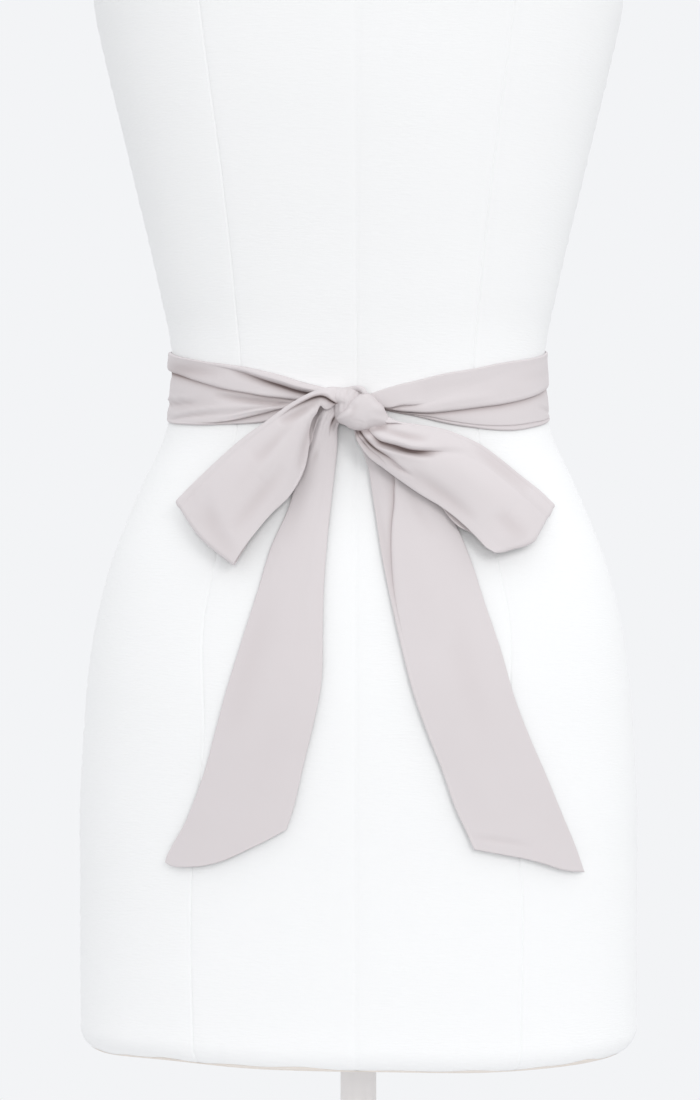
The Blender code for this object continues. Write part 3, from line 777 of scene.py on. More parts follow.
# angle, top, bottom, then for the roll, main and hem laps: share of the width and rise
BAND_SECTIONS = (
    (3, 1023.5, 1014, 0.84, 0.5, 0.90, 1, 0.96, 0.3),
    (7.7, 1027.4, 1012.1, 0.88, 1.2, 0.94, 1.6, 0.98, 0.2),
    (11, 1029.6, 1010.5, 0.74, 1.2, 0.93, 1.7, 0.975, 0.2),
    (14.8, 1031.6, 1009, 0.69, 0.7, 0.90, 1.7, 0.965, 0.3),
    (18, 1033.4, 1007.4, 0.62, 0, 0.865, 1.6, 0.94, 0.4),
    (24, 1036.5, 1004.5, 0.45, 0, 0.77, 1.6, 0.935, 0.4),
    (34, 1040, 1001.7, 0.28, 0, 0.665, 1.6, 0.94, 0.4),
    (46, 1044.4, 1000.4, 0.16, 0, 0.61, 1.6, 0.925, 0.45),
    (64, 1048.8, 1003.8, 0.09, 0, 0.56, 1.5, 0.93, 0.45),
    (78, 1052.4, 1007.4, 0.08, 0, 0.52, 1.5, 0.945, 0.4),
    (90, 1056, 1010.6, 0.09, 0, 0.505, 1.5, 0.95, 0.4),
    (125, 1060, 1009, 0.12, 0.5, 0.50, 1.6, 0.92, 0.8),
    (180, 1062, 1008, 0.14, 0.9, 0.44, 1.5, 0.89, 0.9),
    (235, 1060, 1009, 0.10, 0.5, 0.36, 1.7, 0.88, 0.7),
    (262, 1057, 1011, 0.07, 0, 0.30, 2, 0.93, 0.3),
    (272, 1055.6, 1010.4, 0.06, 0, 0.285, 2, 0.95, 0),
    (280, 1053.6, 1008, 0.05, 0, 0.28, 2, 0.95, 0),
    (290, 1051, 1006.2, 0.045, 0, 0.275, 1.9, 0.955, 0),
    (302, 1048, 1005, 0.045, 0, 0.315, 1.6, 0.96, 0),
    (311, 1045.5, 1004.2, 0.05, 0, 0.355, 1.4, 0.962, 0.3),
    (317, 1044.2, 1004.2, 0.06, 0.2, 0.40, 1.4, 0.96, 0.8),
    (322, 1043, 1004.3, 0.08, 0.6, 0.43, 1.4, 0.945, 1.1),
    (328, 1041.2, 1004.4, 0.12, 1.3, 0.455, 1.5, 0.895, 1.3),
    (334, 1038.4, 1005.2, 0.172, 1.8, 0.49, 1.6, 0.83, 1.4),
    (339.5, 1035.6, 1007.2, 0.226, 2.3, 0.525, 1.6, 0.775, 1.4),
    (345.5, 1031.4, 1009.6, 0.29, 2.6, 0.565, 1.4, 0.76, 1.2),
    (352, 1027.6, 1012.6, 0.34, 2.6, 0.60, 1.2, 0.78, 0.9),
    (357, 1024.6, 1014, 0.34, 2.4, 0.62, 1, 0.80, 0.6),
)
BAND_FILLS = (6, 19, 20, 5)
BAND_PUFFS = (0.5, 0.5, 0.15)
LAP_REACHES, LAP_SIZES = (6, 14, 12), (1.5, 1.2, 1.0)  # of the roll, the main and the hem lap
ROLL_PUFF = 0.6  # of the roll, for each millimetre of its rise
# room under the cloth: all round, what the knot adds, and how many degrees that reaches
EASE_LEFT, BAND_EASE, EASE_REACH = 0.1, 1.0, 55.0
# angle, height, angle, height, bow, rise or depth, half width
BAND_FOLDS = (
    (314, 1023.8, 347, 1015.4, 0.6, -2.4, 1.8), (318, 1027, 342, 1020.4, 0, 0.7, 1.6),
    (322, 1039, 350, 1021.5, 0, -1.4, 2.4), (318, 1010.2, 343, 1018, 0, -0.9, 0.9),
    (316, 1007.6, 345, 1017.2, 0, 0.6, 0.9), (288, 1011.6, 330, 1015.6, -0.8, 1, 1.3),
    (286, 1009, 322, 1011.6, -0.6, -1, 1.2), (262, 1021.6, 306, 1019.4, 0.3, -1.5, 1.1),
    (262, 1024.4, 306, 1022.4, 0.3, 1.1, 1.5), (266, 1015.5, 296, 1013, 0, 0.8, 2.4),
    (256, 1038, 284, 1041, 0, -0.7, 2), (8, 1022.5, 40, 1034, 0.5, -0.2, 2.6),
    (14, 1014.5, 44, 1023, -1, 0.5, 3), (50, 1034, 88, 1042, 1, -0.35, 4),
    (66, 1017, 104, 1013, 0.6, -0.7, 1.8), (88, 1046, 132, 1051, -0.8, -0.7, 2),
    (112, 1022, 150, 1018, 0.8, -0.8, 1.8), (128, 1036, 176, 1043, -1, 0.6, 2.6),
    (160, 1014, 206, 1019, -0.6, -0.8, 1.7), (184, 1046, 232, 1049, 0.8, -0.7, 2),
    (206, 1029, 246, 1024, 0.8, 0.6, 2.4), (226, 1015.5, 262, 1018.5, -0.4, -0.9, 1.6),
    (274, 1045, 320, 1037, 0.6, -1.5, 4.6), (272, 1042, 316, 1040, 0, -0.9, 6),
    (276, 1019, 318, 1016.5, 0, -0.8, 6), (98, 1029.5, 138, 1033, 0.8, -0.9, 1.5),
    (120, 1044.5, 156, 1049, -0.6, 0.7, 1.6), (142, 1054, 196, 1052.5, 0.5, -0.8, 1.3),
    (150, 1024.5, 190, 1028, -0.8, -1.1, 1.5), (176, 1037.5, 222, 1040.5, 0.7, -1, 1.5),
    (198, 1012.5, 240, 1012, 0.3, 0.6, 1.3), (214, 1054, 250, 1050, -0.4, -0.7, 1.4),
)
WAIST_RADIUS = 108.0  # turns an angle into a distance round the waist


def make_band():
    """The band, from one side of the knot round the form to the other."""
    angles = np.linspace(BAND_SECTIONS[0][0], BAND_SECTIONS[-1][0], BAND_STEPS + 1)[:, None]
    top, bottom, *lap_columns = read_table(BAND_SECTIONS, angles)
    width = top - bottom
    laps = [
        (share * width, np.maximum(rise, 0), 1, reach, size)
        for share, rise, reach, size in zip(lap_columns[::2], lap_columns[1::2], LAP_REACHES, LAP_SIZES)
    ]
    flat, folded, height, tone = lines_across(width, laps, BAND_FILLS, (ROLL_PUFF * laps[0][1], *BAND_PUFFS))
    turn = np.radians(angles) + 0 * flat
    folds = [
        (math.radians(a0) * WAIST_RADIUS, z0, math.radians(a1) * WAIST_RADIUS, z1, *shape)
        for a0, z0, a1, z1, *shape in BAND_FOLDS
    ]
    soft = soft_folds(turn * WAIST_RADIUS, top - folded, folds)
    ease = EASE_LEFT + BAND_EASE * bell(np.minimum(angles, 360 - angles), EASE_REACH)
    raised = np.maximum(height + soft, -WALL / 2 - ease)
    lift = BAND_CLEARANCE + (WALL + ease + raised) * rounded_edge(flat, width)
    grids = []
    for level, out in ((top - folded, lift), (top - flat, BAND_CLEARANCE)):
        grids.append(np.stack((*around_form(turn, level, out), level), axis=2))
    return cloth_shell("sash_waist_band", *grids, tone + painted_fold_shade(soft), satin)


band = make_band()
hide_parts("sash_band")

# %% [markdown]
# ## The hanging tails
# Each tail is one end of the strip. It leaves the knot crushed to a cord's width, opens over 60 mm, lies on
# the hip and hangs to a slanted end. Its sections are straight lines from edge to edge across the form,
# given by their two ends. The right tail has a long pleat: its broad part lies over a narrow strip at the
# left edge. The end of the strip is sewn and turned, so a faint line of the seam allowance shows above the
# end edge.

# %% Tails
TAIL_STEPS = 190
TAIL_END_REACH = 0.12
TAIL_FILLS, TAIL_PUFFS, TAIL_LAP_REACH = (16, 20), (0.1, 0.2), 16.0
TAIL_ROOM = 1.2  # how far a trough of a tail may sink
# share of the width from the left, how far the end's edge hangs below a straight line
TAIL_LEFT_END = ((0, 0), (0.03, 2.0), (0.2, 6.9), (0.45, 8.8), (0.7, 5.6), (0.87, 2.7), (1, 0))
TAIL_RIGHT_END = ((0, 0), (0.25, -0.6), (0.5, -1.0), (0.68, 0.1), (0.8, 1.3), (0.92, 0.8), (1, 0))
# left x, left z, right x, right z, lift of the left edge, of the middle and of the right edge above the form
TAIL_LEFT_SECTIONS = (
    (-7, 1017, -5, 1008, 10, 11, 10), (-17.5, 1015.5, -11, 1004, 12, 10.6, 8.6),
    (-24.5, 1008, -12.3, 999, 12.4, 10, 7), (-29.5, 993.4, -12.3, 990, 8.5, 8, 5.5),
    (-36.5, 975, -13.8, 974, 4.2, 5.6, 4.5), (-43.6, 949.8, -16.3, 951, 2.7, 4.2, 3.6),
    (-54.5, 925, -18.5, 929, 2.5, 3.6, 3.2), (-63, 896.3, -20.5, 900, 2.4, 3.4, 3),
    (-72, 868, -21.1, 872, 2.4, 3.4, 3), (-82, 835.6, -21.6, 842, 2.5, 3.4, 3),
    (-89, 810, -26, 817, 2.7, 3.4, 3.2), (-97, 781, -33, 788, 2.5, 3.1, 3),
    (-108, 752, -38.5, 764, 2.4, 2.8, 2.8), (-116, 737.5, -41.6, 753.5, 2.3, 2.6, 2.6),
    (-120.8, 728.6, -43.2, 748.6, 2.3, 2.6, 2.5), (-122.5, 723.4, -44, 746.4, 2.3, 2.6, 2.5),
)
TAIL_RIGHT_SECTIONS = (
    (-2, 1007, 7, 1007, 9.4, 10, 9.4), (-1.2, 997, 12, 996, 8, 9.5, 8), (3.5, 987, 25, 986, 6.5, 8, 7),
    (7.5, 975, 40, 974, 4.6, 6.5, 6), (9.8, 961, 53, 957, 3.6, 5.4, 5), (12.8, 941.5, 64, 938, 3.2, 4.6, 4),
    (16.5, 918, 73.5, 915, 3, 4, 3.2), (21.5, 893, 81.5, 890, 2.8, 3.8, 2.8),
    (28.2, 863, 92, 859, 2.8, 3.6, 2.6), (35.5, 834.5, 100.5, 829.5, 3, 3.6, 2.7),
    (44.5, 808.5, 110.5, 803.5, 3.2, 3.8, 3), (54, 784.5, 121, 779.5, 2.8, 3.4, 2.7),
    (62.5, 760, 132, 753, 2.6, 3, 2.6), (69, 746, 140, 734, 2.5, 2.8, 2.6),
    (74.5, 733.5, 146.4, 716, 2.5, 2.8, 2.7),
)
# section, share of the width, rise
TAIL_LEFT_LAP = (
    (0, 0.55, 0), (0.8, 0.58, 1.6), (1.2, 0.60, 2.4), (1.6, 0.62, 2.4), (2, 0.64, 1.4), (2.4, 0.66, 0.4),
    (2.7, 0.67, 0), (14, 0.5, 0),
)
TAIL_RIGHT_LAP = (
    (0, 0.5, 0), (2, 0.50, 1), (3.45, 0.42, 1.3), (3.85, 0.35, 1.3), (4.45, 0.27, 1.2), (5, 0.19, 1.1),
    (6, 0.10, 0.8), (7, 0.05, 0.4), (8, 0.04, 0), (14, 0.04, 0),
)
# x, z, x, z, bow, rise or depth, half width
TAIL_LEFT_FOLDS = (
    (-19, 1013, -27, 985, 0, 1.6, 2.8), (-14.5, 1014, -23, 997, 0.5, -1, 1.3),
    (-13, 1011, -17.5, 998, -0.4, 0.6, 1.1), (-11.5, 1009, -14.5, 999, 0, -0.7, 0.9),
    (-22, 1001, -29, 978, -0.8, -0.7, 1.6), (-20.5, 1016, -31, 993, 0, -1.4, 1.9),
    (-28, 1001, -37, 966, 0, -0.9, 2.2), (-27, 985, -46, 925, 0, -0.5, 5), (-22, 960, -34, 880, 0, 0.5, 7),
    (-52, 900, -80, 800, 2, -0.45, 9), (-36, 860, -60, 770, -2, 0.4, 10),
)
TAIL_RIGHT_FOLDS = (
    (10, 984, 20, 950, 0, 0.5, 3), (9, 966, 25, 884, 0, -0.8, 3.5), (30, 972, 50, 930, 1, -0.5, 4),
    (36, 940, 60, 860, 1, 0.5, 8), (58, 890, 84, 800, 1, -0.4, 9), (60, 800, 100, 740, 0, 0.4, 10),
    (72, 741, 112, 734, -1, -0.5, 2.2),
)


def tail_grids(sections, end_rows, lap_rows, side, folds):
    """Outer and inner grid of a tail, and its painted shade."""
    last = len(sections) - 1
    at = np.linspace(0, last, TAIL_STEPS + 1)[:, None]
    left_x, left_z, right_x, right_z, left, middle, right = read_sections(sections, at)
    width = np.hypot(right_x - left_x, right_z - left_z)
    place, rise = read_lap(lap_rows, at)
    laps = [(place * width, rise, side, TAIL_LAP_REACH, 1.0)]
    flat, folded, height, tone = lines_across(width, laps, TAIL_FILLS, TAIL_PUFFS)
    near_end = np.clip(1 - (1 - at / last) / TAIL_END_REACH, 0, 1)
    rounding = rounded_edge(flat, width)
    grids = []
    for distance in (folded, flat):
        share = distance / width
        x = left_x + (right_x - left_x) * share
        z = left_z + (right_z - left_z) * share - read_table(end_rows, share)[0] * near_end
        base = left + (right - left) * share + (middle - (left + right) / 2) * (4 * share * (1 - share))
        y = form_back(x, z) - base
        if distance is folded:
            soft = soft_folds(x, z, folds)
            y = y - (WALL / 2 + np.maximum(height + soft, -TAIL_ROOM)) * rounding
        else:
            y = y + WALL / 2 * rounding
        grids.append(np.stack((x, y, z), axis=2))
    return *grids, tone + painted_fold_shade(soft)


tail_left = cloth_shell(
    "sash_tail_left_cloth",
    *tail_grids(TAIL_LEFT_SECTIONS, TAIL_LEFT_END, TAIL_LEFT_LAP, 1, TAIL_LEFT_FOLDS),
    satin,
)
tail_right = cloth_shell(
    "sash_tail_right_cloth",
    *tail_grids(TAIL_RIGHT_SECTIONS, TAIL_RIGHT_END, TAIL_RIGHT_LAP, -1, TAIL_RIGHT_FOLDS),
    satin,
)
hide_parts("sash_tail_left")
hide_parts("sash_tail_right")

# %% [markdown]
# ## The two loops
# A loop runs out from the knot in its front layer, turns over in a soft fold at the outer end, and comes
# home behind. Both layers are one wall of cloth here too. At the knot the strip is gathered, and that gives
# the deep laps: on the left loop a folded strip along the top edge and a round lobe under it, on the right
# loop a long dark crease between two strands and the lower edge of the front layer.

# %% Loops
LOOP_STEPS = 140
TURN_STEPS = 9
HOME_STEPS = 60
LOOP_LAP_REACH = 7.0
# share of the width, share of the outward bow: the outline of each loop's outer end
LEFT_END = ((0, 0), (0.1, 0.28), (0.25, 0.64), (0.5, 1), (0.75, 0.64), (0.9, 0.28), (1, 0))
RIGHT_END = ((0, 0.02), (0.2, 0.38), (0.4, 0.77), (0.5, 0.97), (0.6, 0.87), (0.8, 0.46), (0.93, 0.2), (1, 0))
BACK_LAYER_SHADE = 0.7  # painted shade of the back layer, which lies in the shade of the front one
# upper x and z, lower x and z, lift of the back layer, gap at the edges, crown of the front, outward bow
LOOP_LEFT_SECTIONS = (
    (-4, 1022.5, -6, 1013, 6, 6.4, 0.6, 0), (-15, 1026.6, -15, 1012.5, 8, 7.6, 2.4, 0),
    (-26, 1025, -24.5, 1005, 8.2, 8.2, 3.4, 0), (-42.3, 1016.8, -29.5, 990, 9.4, 4.8, 5.4, 0),
    (-58.3, 1005.5, -35, 976, 9.6, 3, 6, 0), (-74.4, 994.1, -44.5, 960.5, 8.8, 3.2, 5.4, 0),
    (-90.6, 980.1, -56, 947.5, 8.4, 3.4, 4.6, 0.6), (-105, 966.7, -68, 930.5, 8.4, 3.6, 3.2, 2),
    (-115.4, 956.4, -77.2, 915.4, 8.8, 3.8, 0.8, 3),
)
LOOP_RIGHT_SECTIONS = (
    (13, 1013, -1, 1003.5, 12.8, 5, 0.6, 0), (19.8, 1008.4, 0.5, 993, 13, 4.6, 3, 0),
    (27, 1005, 7.5, 982.5, 12.4, 3.8, 5, 0), (39.3, 1003.3, 16.5, 975.5, 11, 3, 6.4, 0),
    (54.1, 1000.9, 29.1, 966.2, 10, 3, 7, 0), (67, 996.5, 41.5, 957.8, 9.4, 3, 7, 0),
    (80, 990.5, 53, 951, 9, 3.2, 6.4, 0), (92, 982, 63.5, 943.2, 8.8, 3.4, 5.6, 0.8),
    (105.4, 971.3, 74, 933.5, 9, 3.6, 4.4, 2.8), (118, 961.6, 82, 925, 9.6, 3.8, 3, 6.4),
    (126.2, 954, 86.4, 922.2, 10.4, 3.8, 0.8, 9),
)
# section, share of the width, rise
LEFT_STRIP_LAP = (
    (0, 0.86, 0.6), (0.5, 0.80, 1.6), (0.78, 0.74, 2.4), (1.05, 0.61, 2.8), (1.35, 0.42, 2.9),
    (1.65, 0.29, 2.8), (2, 0.21, 2.6), (2.5, 0.15, 2), (3, 0.11, 1), (3.6, 0.10, 0), (8, 0.10, 0),
)
RIGHT_STRIP_LAP = (
    (0, 0.40, 0), (0.6, 0.34, 0.2), (1, 0.27, 0.9), (1.5, 0.155, 1.1), (2, 0.06, 0.7), (2.4, 0.055, 0),
    (3, 0.055, 0), (3.6, 0.055, 0), (10, 0.055, 0),
)
RIGHT_CREASE_LAP = (
    (0, 0.62, 0), (1.2, 0.61, 0.8), (1.9, 0.585, 2.4), (2.4, 0.55, 3), (3, 0.525, 2.8), (3.5, 0.50, 2.6),
    (4, 0.43, 1.8), (4.4, 0.37, 0.7), (4.8, 0.31, 0), (5.7, 0.25, 0), (10, 0.2, 0),
)
RIGHT_FRONT_LAP = (
    (0, 0.88, 1), (0.6, 0.84, 1.6), (1.1, 0.80, 2), (1.6, 0.78, 2.4), (2.2, 0.765, 2.4), (2.8, 0.775, 2),
    (3.3, 0.80, 1.1), (3.7, 0.83, 0.4), (4.1, 0.85, 0), (4.6, 0.86, 0), (10, 0.9, 0),
)
RIGHT_ROLL_LAP = (
    (0, 0.96, 0.2), (0.9, 0.92, 0.8), (1.3, 0.88, 1.2), (1.8, 0.87, 0.9), (2.4, 0.865, 0.6),
    (2.8, 0.90, 0.3), (3.2, 0.935, 0), (3.8, 0.955, 0), (4.4, 0.955, 0), (10, 0.955, 0),
)
# section, how far the front layer's lower edge is drawn up
LEFT_TRIM = (
    (0, 0.5), (0.5, 1.6), (0.78, 2.8), (1.05, 1.9), (1.4, 2.2), (1.6, 4.4), (1.78, 7.6), (2, 5.8),
    (2.4, 6.2), (2.7, 4.8), (2.92, 1.5), (3.2, 0), (8, 0),
)
RIGHT_TRIM = ((0, 0), (10, 0))
# section, how far the back layer reaches past the lower edge
LEFT_REACH = (
    (0, 0), (1.4, 0), (2, 0.2), (2.5, 0.4), (3, -0.3), (3.4, -1.4), (4.2, -2), (5.2, -0.6), (6.4, 0),
    (7.2, 0.8), (8, 0.9),
)
RIGHT_REACH = (
    (0, 0), (1.2, 0.4), (2, -1.6), (5.6, -1.6), (6.2, 0.4), (6.8, 2.6), (7.4, 2.8), (7.9, 0.4), (8.3, 0),
    (10, 0),
)
# x, z, x, z, bow, rise or depth, half width
LOOP_LEFT_FOLDS = (
    (-24, 1018.5, -50, 1004, -1.2, -2.4, 2.6), (-30, 1013, -66, 979, -2.2, -1.6, 4.6),
    (-52, 994, -92, 948, -1, -0.3, 6), (-27, 1014, -60, 968, 2, 1.8, 4), (-74, 990, -104, 944, 0, 1, 8),
    (-25, 1010, -36, 972, 1.5, -1.6, 2.6), (-46, 976, -80, 934, 0, -1.2, 4.5),
    (-100, 962, -88, 936, 0, -0.5, 4), (-110, 966, -74, 912, 1, -0.8, 6),
)
LOOP_RIGHT_FOLDS = (
    (-4, 997.5, 20, 1002, 0.5, -3.4, 2.6), (12, 1001.6, 46, 993, 1.6, -2.6, 2.4),
    (-4, 1007, 54, 988, 4, 1.4, 2.8), (4, 993, 50, 983.4, 1.6, -2.4, 1.9),
    (34, 985, 74, 985.4, 0, -1.2, 2.4), (6, 992.5, 48, 979, 1.2, 1.2, 2.2),
    (20, 979, 36, 970, 0, -1.2, 1.2), (33, 973, 76, 941, -1.5, -1.5, 4.6), (50, 990, 100, 950, 0, 1.8, 9),
    (72, 991, 112, 960, 0, -1.4, 5), (88, 948, 108, 930, 0, -1.2, 5),
)


def loop_layer(front, sections, end_rows, laps, fills, puffs, folds, edge_rows):
    """Outer and inner grid of a loop's front layer or of the way home behind it, and its painted shade."""
    last = len(sections) - 1
    at = np.linspace(0, last, LOOP_STEPS + 1) if front else np.linspace(last, 0, HOME_STEPS + 1)
    at = at[:, None]
    upper_x, upper_z, lower_x, lower_z, back, gap, crown, bow = read_sections(sections, at)
    across_x, across_z = lower_x - upper_x, lower_z - upper_z
    width = np.hypot(across_x, across_z)
    away = 1 if front else -1
    own_width = width - away * read_table(edge_rows, at)[0]
    lap_lines = []
    for rows, size in laps:
        place, rise = read_lap(rows, at)
        lap_lines.append((place * width, rise, 1, LOOP_LAP_REACH, size))
    flat, folded, height, tone = lines_across(own_width, lap_lines, fills, puffs)
    rounding = rounded_edge(flat, own_width)
    grids = []
    for distance, side in ((folded if front else flat, away), (flat, -away)):
        share = distance / width
        corner = np.sign(sections[-1][0]) * bow / width * read_table(end_rows, share)[0]
        x = upper_x + across_x * share - across_z * corner
        z = upper_z + across_z * share + across_x * corner
        y = form_back(x, z) - back
        thickness = WALL / 2
        if front:
            crowned = gap + crown * 4 * share * (1 - share)
            soft = soft_folds(x, z, folds)
            y = y - crowned
            if side == away:
                room = crowned - 2 * WALL
                tone = tone + painted_fold_shade(soft)
                thickness = WALL / 2 + np.maximum(height + soft, -room)
            else:
                thickness = WALL / 2 - np.maximum(np.minimum(soft - LAP_DIP, 0), -room)
        grids.append(np.stack((x, y - side * thickness * rounding, z), axis=2))
    return *grids, tone if front else BACK_LAYER_SHADE + 0 * tone


def unit(vectors):
    """Each vector at a length of 1."""
    return vectors / np.linalg.norm(vectors, axis=1)[:, None]


def loop_grids(*form, trim_rows, reach_rows):
    """Outer and inner grid of a whole loop, and its painted shade: front layer, fold, and the way home
    behind.
    """
    front_outer, front_inner, front_tone = loop_layer(True, *form, trim_rows)
    back_outer, back_inner, back_tone = loop_layer(False, *form, reach_rows)
    front_end, back_end = (front_outer[-1] + front_inner[-1]) / 2, (back_outer[0] + back_inner[0]) / 2
    middle = (front_end + back_end) / 2
    radius = np.linalg.norm(front_end - middle, axis=1)[:, None]
    half_wall = np.linalg.norm(front_outer[-1] - front_inner[-1], axis=1)[:, None] / 2
    arm = unit(front_end - middle)
    ahead = unit(front_end - (front_outer[-3] + front_inner[-3]) / 2)
    ahead = unit(ahead - arm * (ahead * arm).sum(axis=1)[:, None])
    angles = [math.pi * step / (TURN_STEPS + 1) for step in range(1, TURN_STEPS + 1)]
    spokes = np.array([arm * math.cos(angle) + ahead * math.sin(angle) for angle in angles])
    outer = np.concatenate((front_outer, middle + spokes * (radius + half_wall), back_outer))
    inner = np.concatenate((front_inner, middle + spokes * (radius - half_wall), back_inner))
    return outer, inner, np.concatenate((front_tone, 0 * spokes[:, :, 0], back_tone))


loop_left = cloth_shell(
    "sash_loop_left_cloth",
    *loop_grids(
        LOOP_LEFT_SECTIONS,
        LEFT_END,
        ((LEFT_STRIP_LAP, 1.6),),
        (9, 30),
        (0.7, 0.8),
        LOOP_LEFT_FOLDS,
        trim_rows=LEFT_TRIM,
        reach_rows=LEFT_REACH,
    ),
    satin,
)
loop_right = cloth_shell(
    "sash_loop_right_cloth",
    *loop_grids(
        LOOP_RIGHT_SECTIONS,
        RIGHT_END,
        ((RIGHT_STRIP_LAP, 0.5), (RIGHT_CREASE_LAP, 1.2), (RIGHT_FRONT_LAP, 1.2), (RIGHT_ROLL_LAP, 0.8)),
        (3, 13, 13, 5, 5),
        (0.2, 0.8, 0.8, 0, 0),
        LOOP_RIGHT_FOLDS,
        trim_rows=RIGHT_TRIM,
        reach_rows=RIGHT_REACH,
    ),
    satin,
)
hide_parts("sash_loop_left")
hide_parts("sash_loop_right")

# %% [markdown]
# ## The knot
# Two turns of the strip show: a wrap that comes over the top from behind and goes down to the left, and
# over it the face, a smooth rounded turn. Each is a cap of thin cloth. An icosphere has even faces and no
# pole, so it is moved point by point onto the outline of the turn, opened at the back where it sinks into
# the knot, and given a wall by Solidify. The crushed cloth shows as fine ribs along the turn.

# %% Knot
KNOT_DETAIL = 6
KNOT_WALL = 0.8
KNOT_RIB_SHADE = 3.0  # the knot's small ribs take this many times the painted shade of their depth
OPEN_BELOW = math.radians(-60)  # turn towards the back past which the cap is open
FACE_CENTRE = (3.0, 1010.8)
# direction in degrees from the centre, distance, slope of the flank (0 is full and round, 3 is a long slope)
FACE_OUTLINE = (
    (2, 15.6, 0.1), (12, 14.8, 0), (30, 13, 0), (50, 12.8, 0), (70, 13, 0), (92, 11.6, 0), (110, 10.4, 0),
    (126, 10, 0.1), (150, 9.4, 0.2), (172, 10.6, 0.2), (186, 14.2, 0.3), (196, 16.4, 0.4), (205, 15.2, 0.5),
    (214, 13.8, 0.5), (235, 12.6, 0.3), (262, 12, 0), (288, 12.4, 0.1), (302, 13.2, 0.5), (315, 15.6, 1.1),
    (327, 18.6, 1.6), (338, 20.6, 1.6), (347, 18.4, 1),
)
FACE_DEPTHS = (-98.0, -114.6)
FACE_FOLDS = (
    (-4, 1019, -8, 1007, -1, 0.3, 1.3), (-5.5, 1005.5, 9, 1001.2, -1.5, -0.18, 0.6),
    (6, 1021, 17, 1010, 1.5, 0.2, 1.6), (0, 1016, -4, 1006, 0, -0.3, 1.8),
    (5, 1003, 15, 1006, -1.5, 0.3, 1.4),
)
WRAP_CENTRE = (-3.0, 1016.0)
WRAP_OUTLINE = (
    (17, 12.2, 0), (38, 12.2, 0), (52, 12.6, 0), (68, 12.6, 0), (85, 11.9, 0.2), (104, 11.6, 0.4),
    (118, 12.4, 0.7), (132, 15.4, 1), (146, 19.6, 1.3), (157, 21, 1.4), (166, 18.2, 1.2), (175, 13.2, 0.8),
    (188, 11.6, 0.3), (204, 12.4, 0.1), (226, 14.4, 0), (258, 13.6, 0), (302, 13, 0), (346, 12.2, 0),
)
WRAP_DEPTHS = (-87.4, -107.6)
WRAP_FOLDS = (
    (-11, 1026.5, -13.5, 1005, 1, 0.25, 0.9), (-9, 1027, -12, 1006, 1.2, -0.25, 0.8),
    (-6.5, 1027.5, -10, 1007, 1.5, 0.25, 0.9), (-4, 1027.5, -8, 1010, 1.8, -0.3, 0.8),
    (-1, 1027.5, -5, 1013, 2, 0.3, 0.9), (2.5, 1027, -1.5, 1017, 1.5, -0.3, 0.8),
)
RIM_SHADE, RIM_REACH = 0.55, 0.35  # painted shade beside the edge of a turn of the knot, and how far it reaches
SLOPE_SINK = 2.0
HIDDEN_FULLNESS = 0.35
SEEN_FULLNESS = 0.75


def knot_cap(name, centre, outline, depths, folds, replaced):
    """A turn of the knot: a rounded cap on an outline, between a depth behind it and one in front."""
    shape = bmesh.new()
    bmesh.ops.create_icosphere(shape, subdivisions=KNOT_DETAIL, radius=1)
    sphere = np.array([vertex.co for vertex in shape.verts])
    turn = np.arcsin(np.clip(-sphere[:, 1], -1, 1))
    direction = np.arctan2(sphere[:, 2], sphere[:, 0]) % (2 * math.pi)
    wrapped = [(row[0] - 360, *row[1:]) for row in outline[-3:]] + list(outline)
    wrapped += [(row[0] + 360, *row[1:]) for row in outline[:3]]
    reach, slope = read_table(wrapped, np.degrees(direction))
    reach = reach * np.cos(turn) ** np.where(turn < 0, HIDDEN_FULLNESS, SEEN_FULLNESS)
    slope = np.maximum(slope, 0)
    forward = np.sin(turn)
    x = centre[0] + reach * np.cos(direction)
    z = centre[1] + reach * np.sin(direction)
    rise = forward * np.abs(forward) ** np.where(turn < 0, 0, slope)
    y = (depths[0] + depths[1]) / 2 + (depths[1] - depths[0]) / 2 * rise
    y += SLOPE_SINK * slope * (1 - np.maximum(forward, 0))
    raised = soft_folds(x, z, folds)
    # painted shade: darker beside the edge of the turn and in the troughs between its ribs
    rim_shade = RIM_SHADE * np.exp(-np.maximum(turn, 0) / RIM_REACH) * np.clip(1 - slope, 0, 1)
    shade_amounts = np.clip(painted_fold_shade(KNOT_RIB_SHADE * raised) + rim_shade, 0, 1)
    for vertex, point in zip(shape.verts, np.stack((x, y, z), axis=1) * MM):
        vertex.co = point
    shape.normal_update()
    painted_shade_layer = shape.verts.layers.float.new("painted_fold_shade")
    for vertex, height, tone in zip(shape.verts, raised, shade_amounts):
        vertex.co += vertex.normal * height * MM
        vertex[painted_shade_layer] = tone
    hidden = [vertex for vertex, angle in zip(shape.verts, turn) if angle < OPEN_BELOW]
    bmesh.ops.delete(shape, geom=hidden, context="VERTS")
    cloth = shape.loops.layers.uv.new("UVMap")
    for face in shape.faces:
        for corner in face.loops:
            corner[cloth].uv = (corner.vert.co.x, corner.vert.co.z - corner.vert.co.y)
    cap = add_object(name, shape, satin, "satin")
    wall = cap.modifiers.new("wall", "SOLIDIFY")
    wall.thickness = KNOT_WALL * MM
    wall.offset = -1
    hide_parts(replaced)
    return cap


knot_face = knot_cap("knot_face_cloth", FACE_CENTRE, FACE_OUTLINE, FACE_DEPTHS, FACE_FOLDS, "sash_knot_face")
knot_wrap = knot_cap("knot_wrap_cloth", WRAP_CENTRE, WRAP_OUTLINE, WRAP_DEPTHS, WRAP_FOLDS, "sash_knot_wrap")

# %% [markdown]
# Where the wrap goes under the face its edge curls over. It is a small roll of cloth: a ring is swept along
# a short curve, and its radius shrinks at the ends.

# %% Curled edge at the knot
ROLL_RINGS = 40
ROLL_COLUMNS = 20
# x, depth, height of the middle of the roll, radius
CURL_EDGE = (
    (-6, -99, 1024.4, 0.8), (-2.6, -101.6, 1025.6, 1.4), (1, -104.8, 1026, 1.8), (3.9, -107.2, 1024.9, 1.8),
    (5.2, -108.6, 1022.9, 1.5), (5.4, -108.2, 1020.9, 0.9),
)


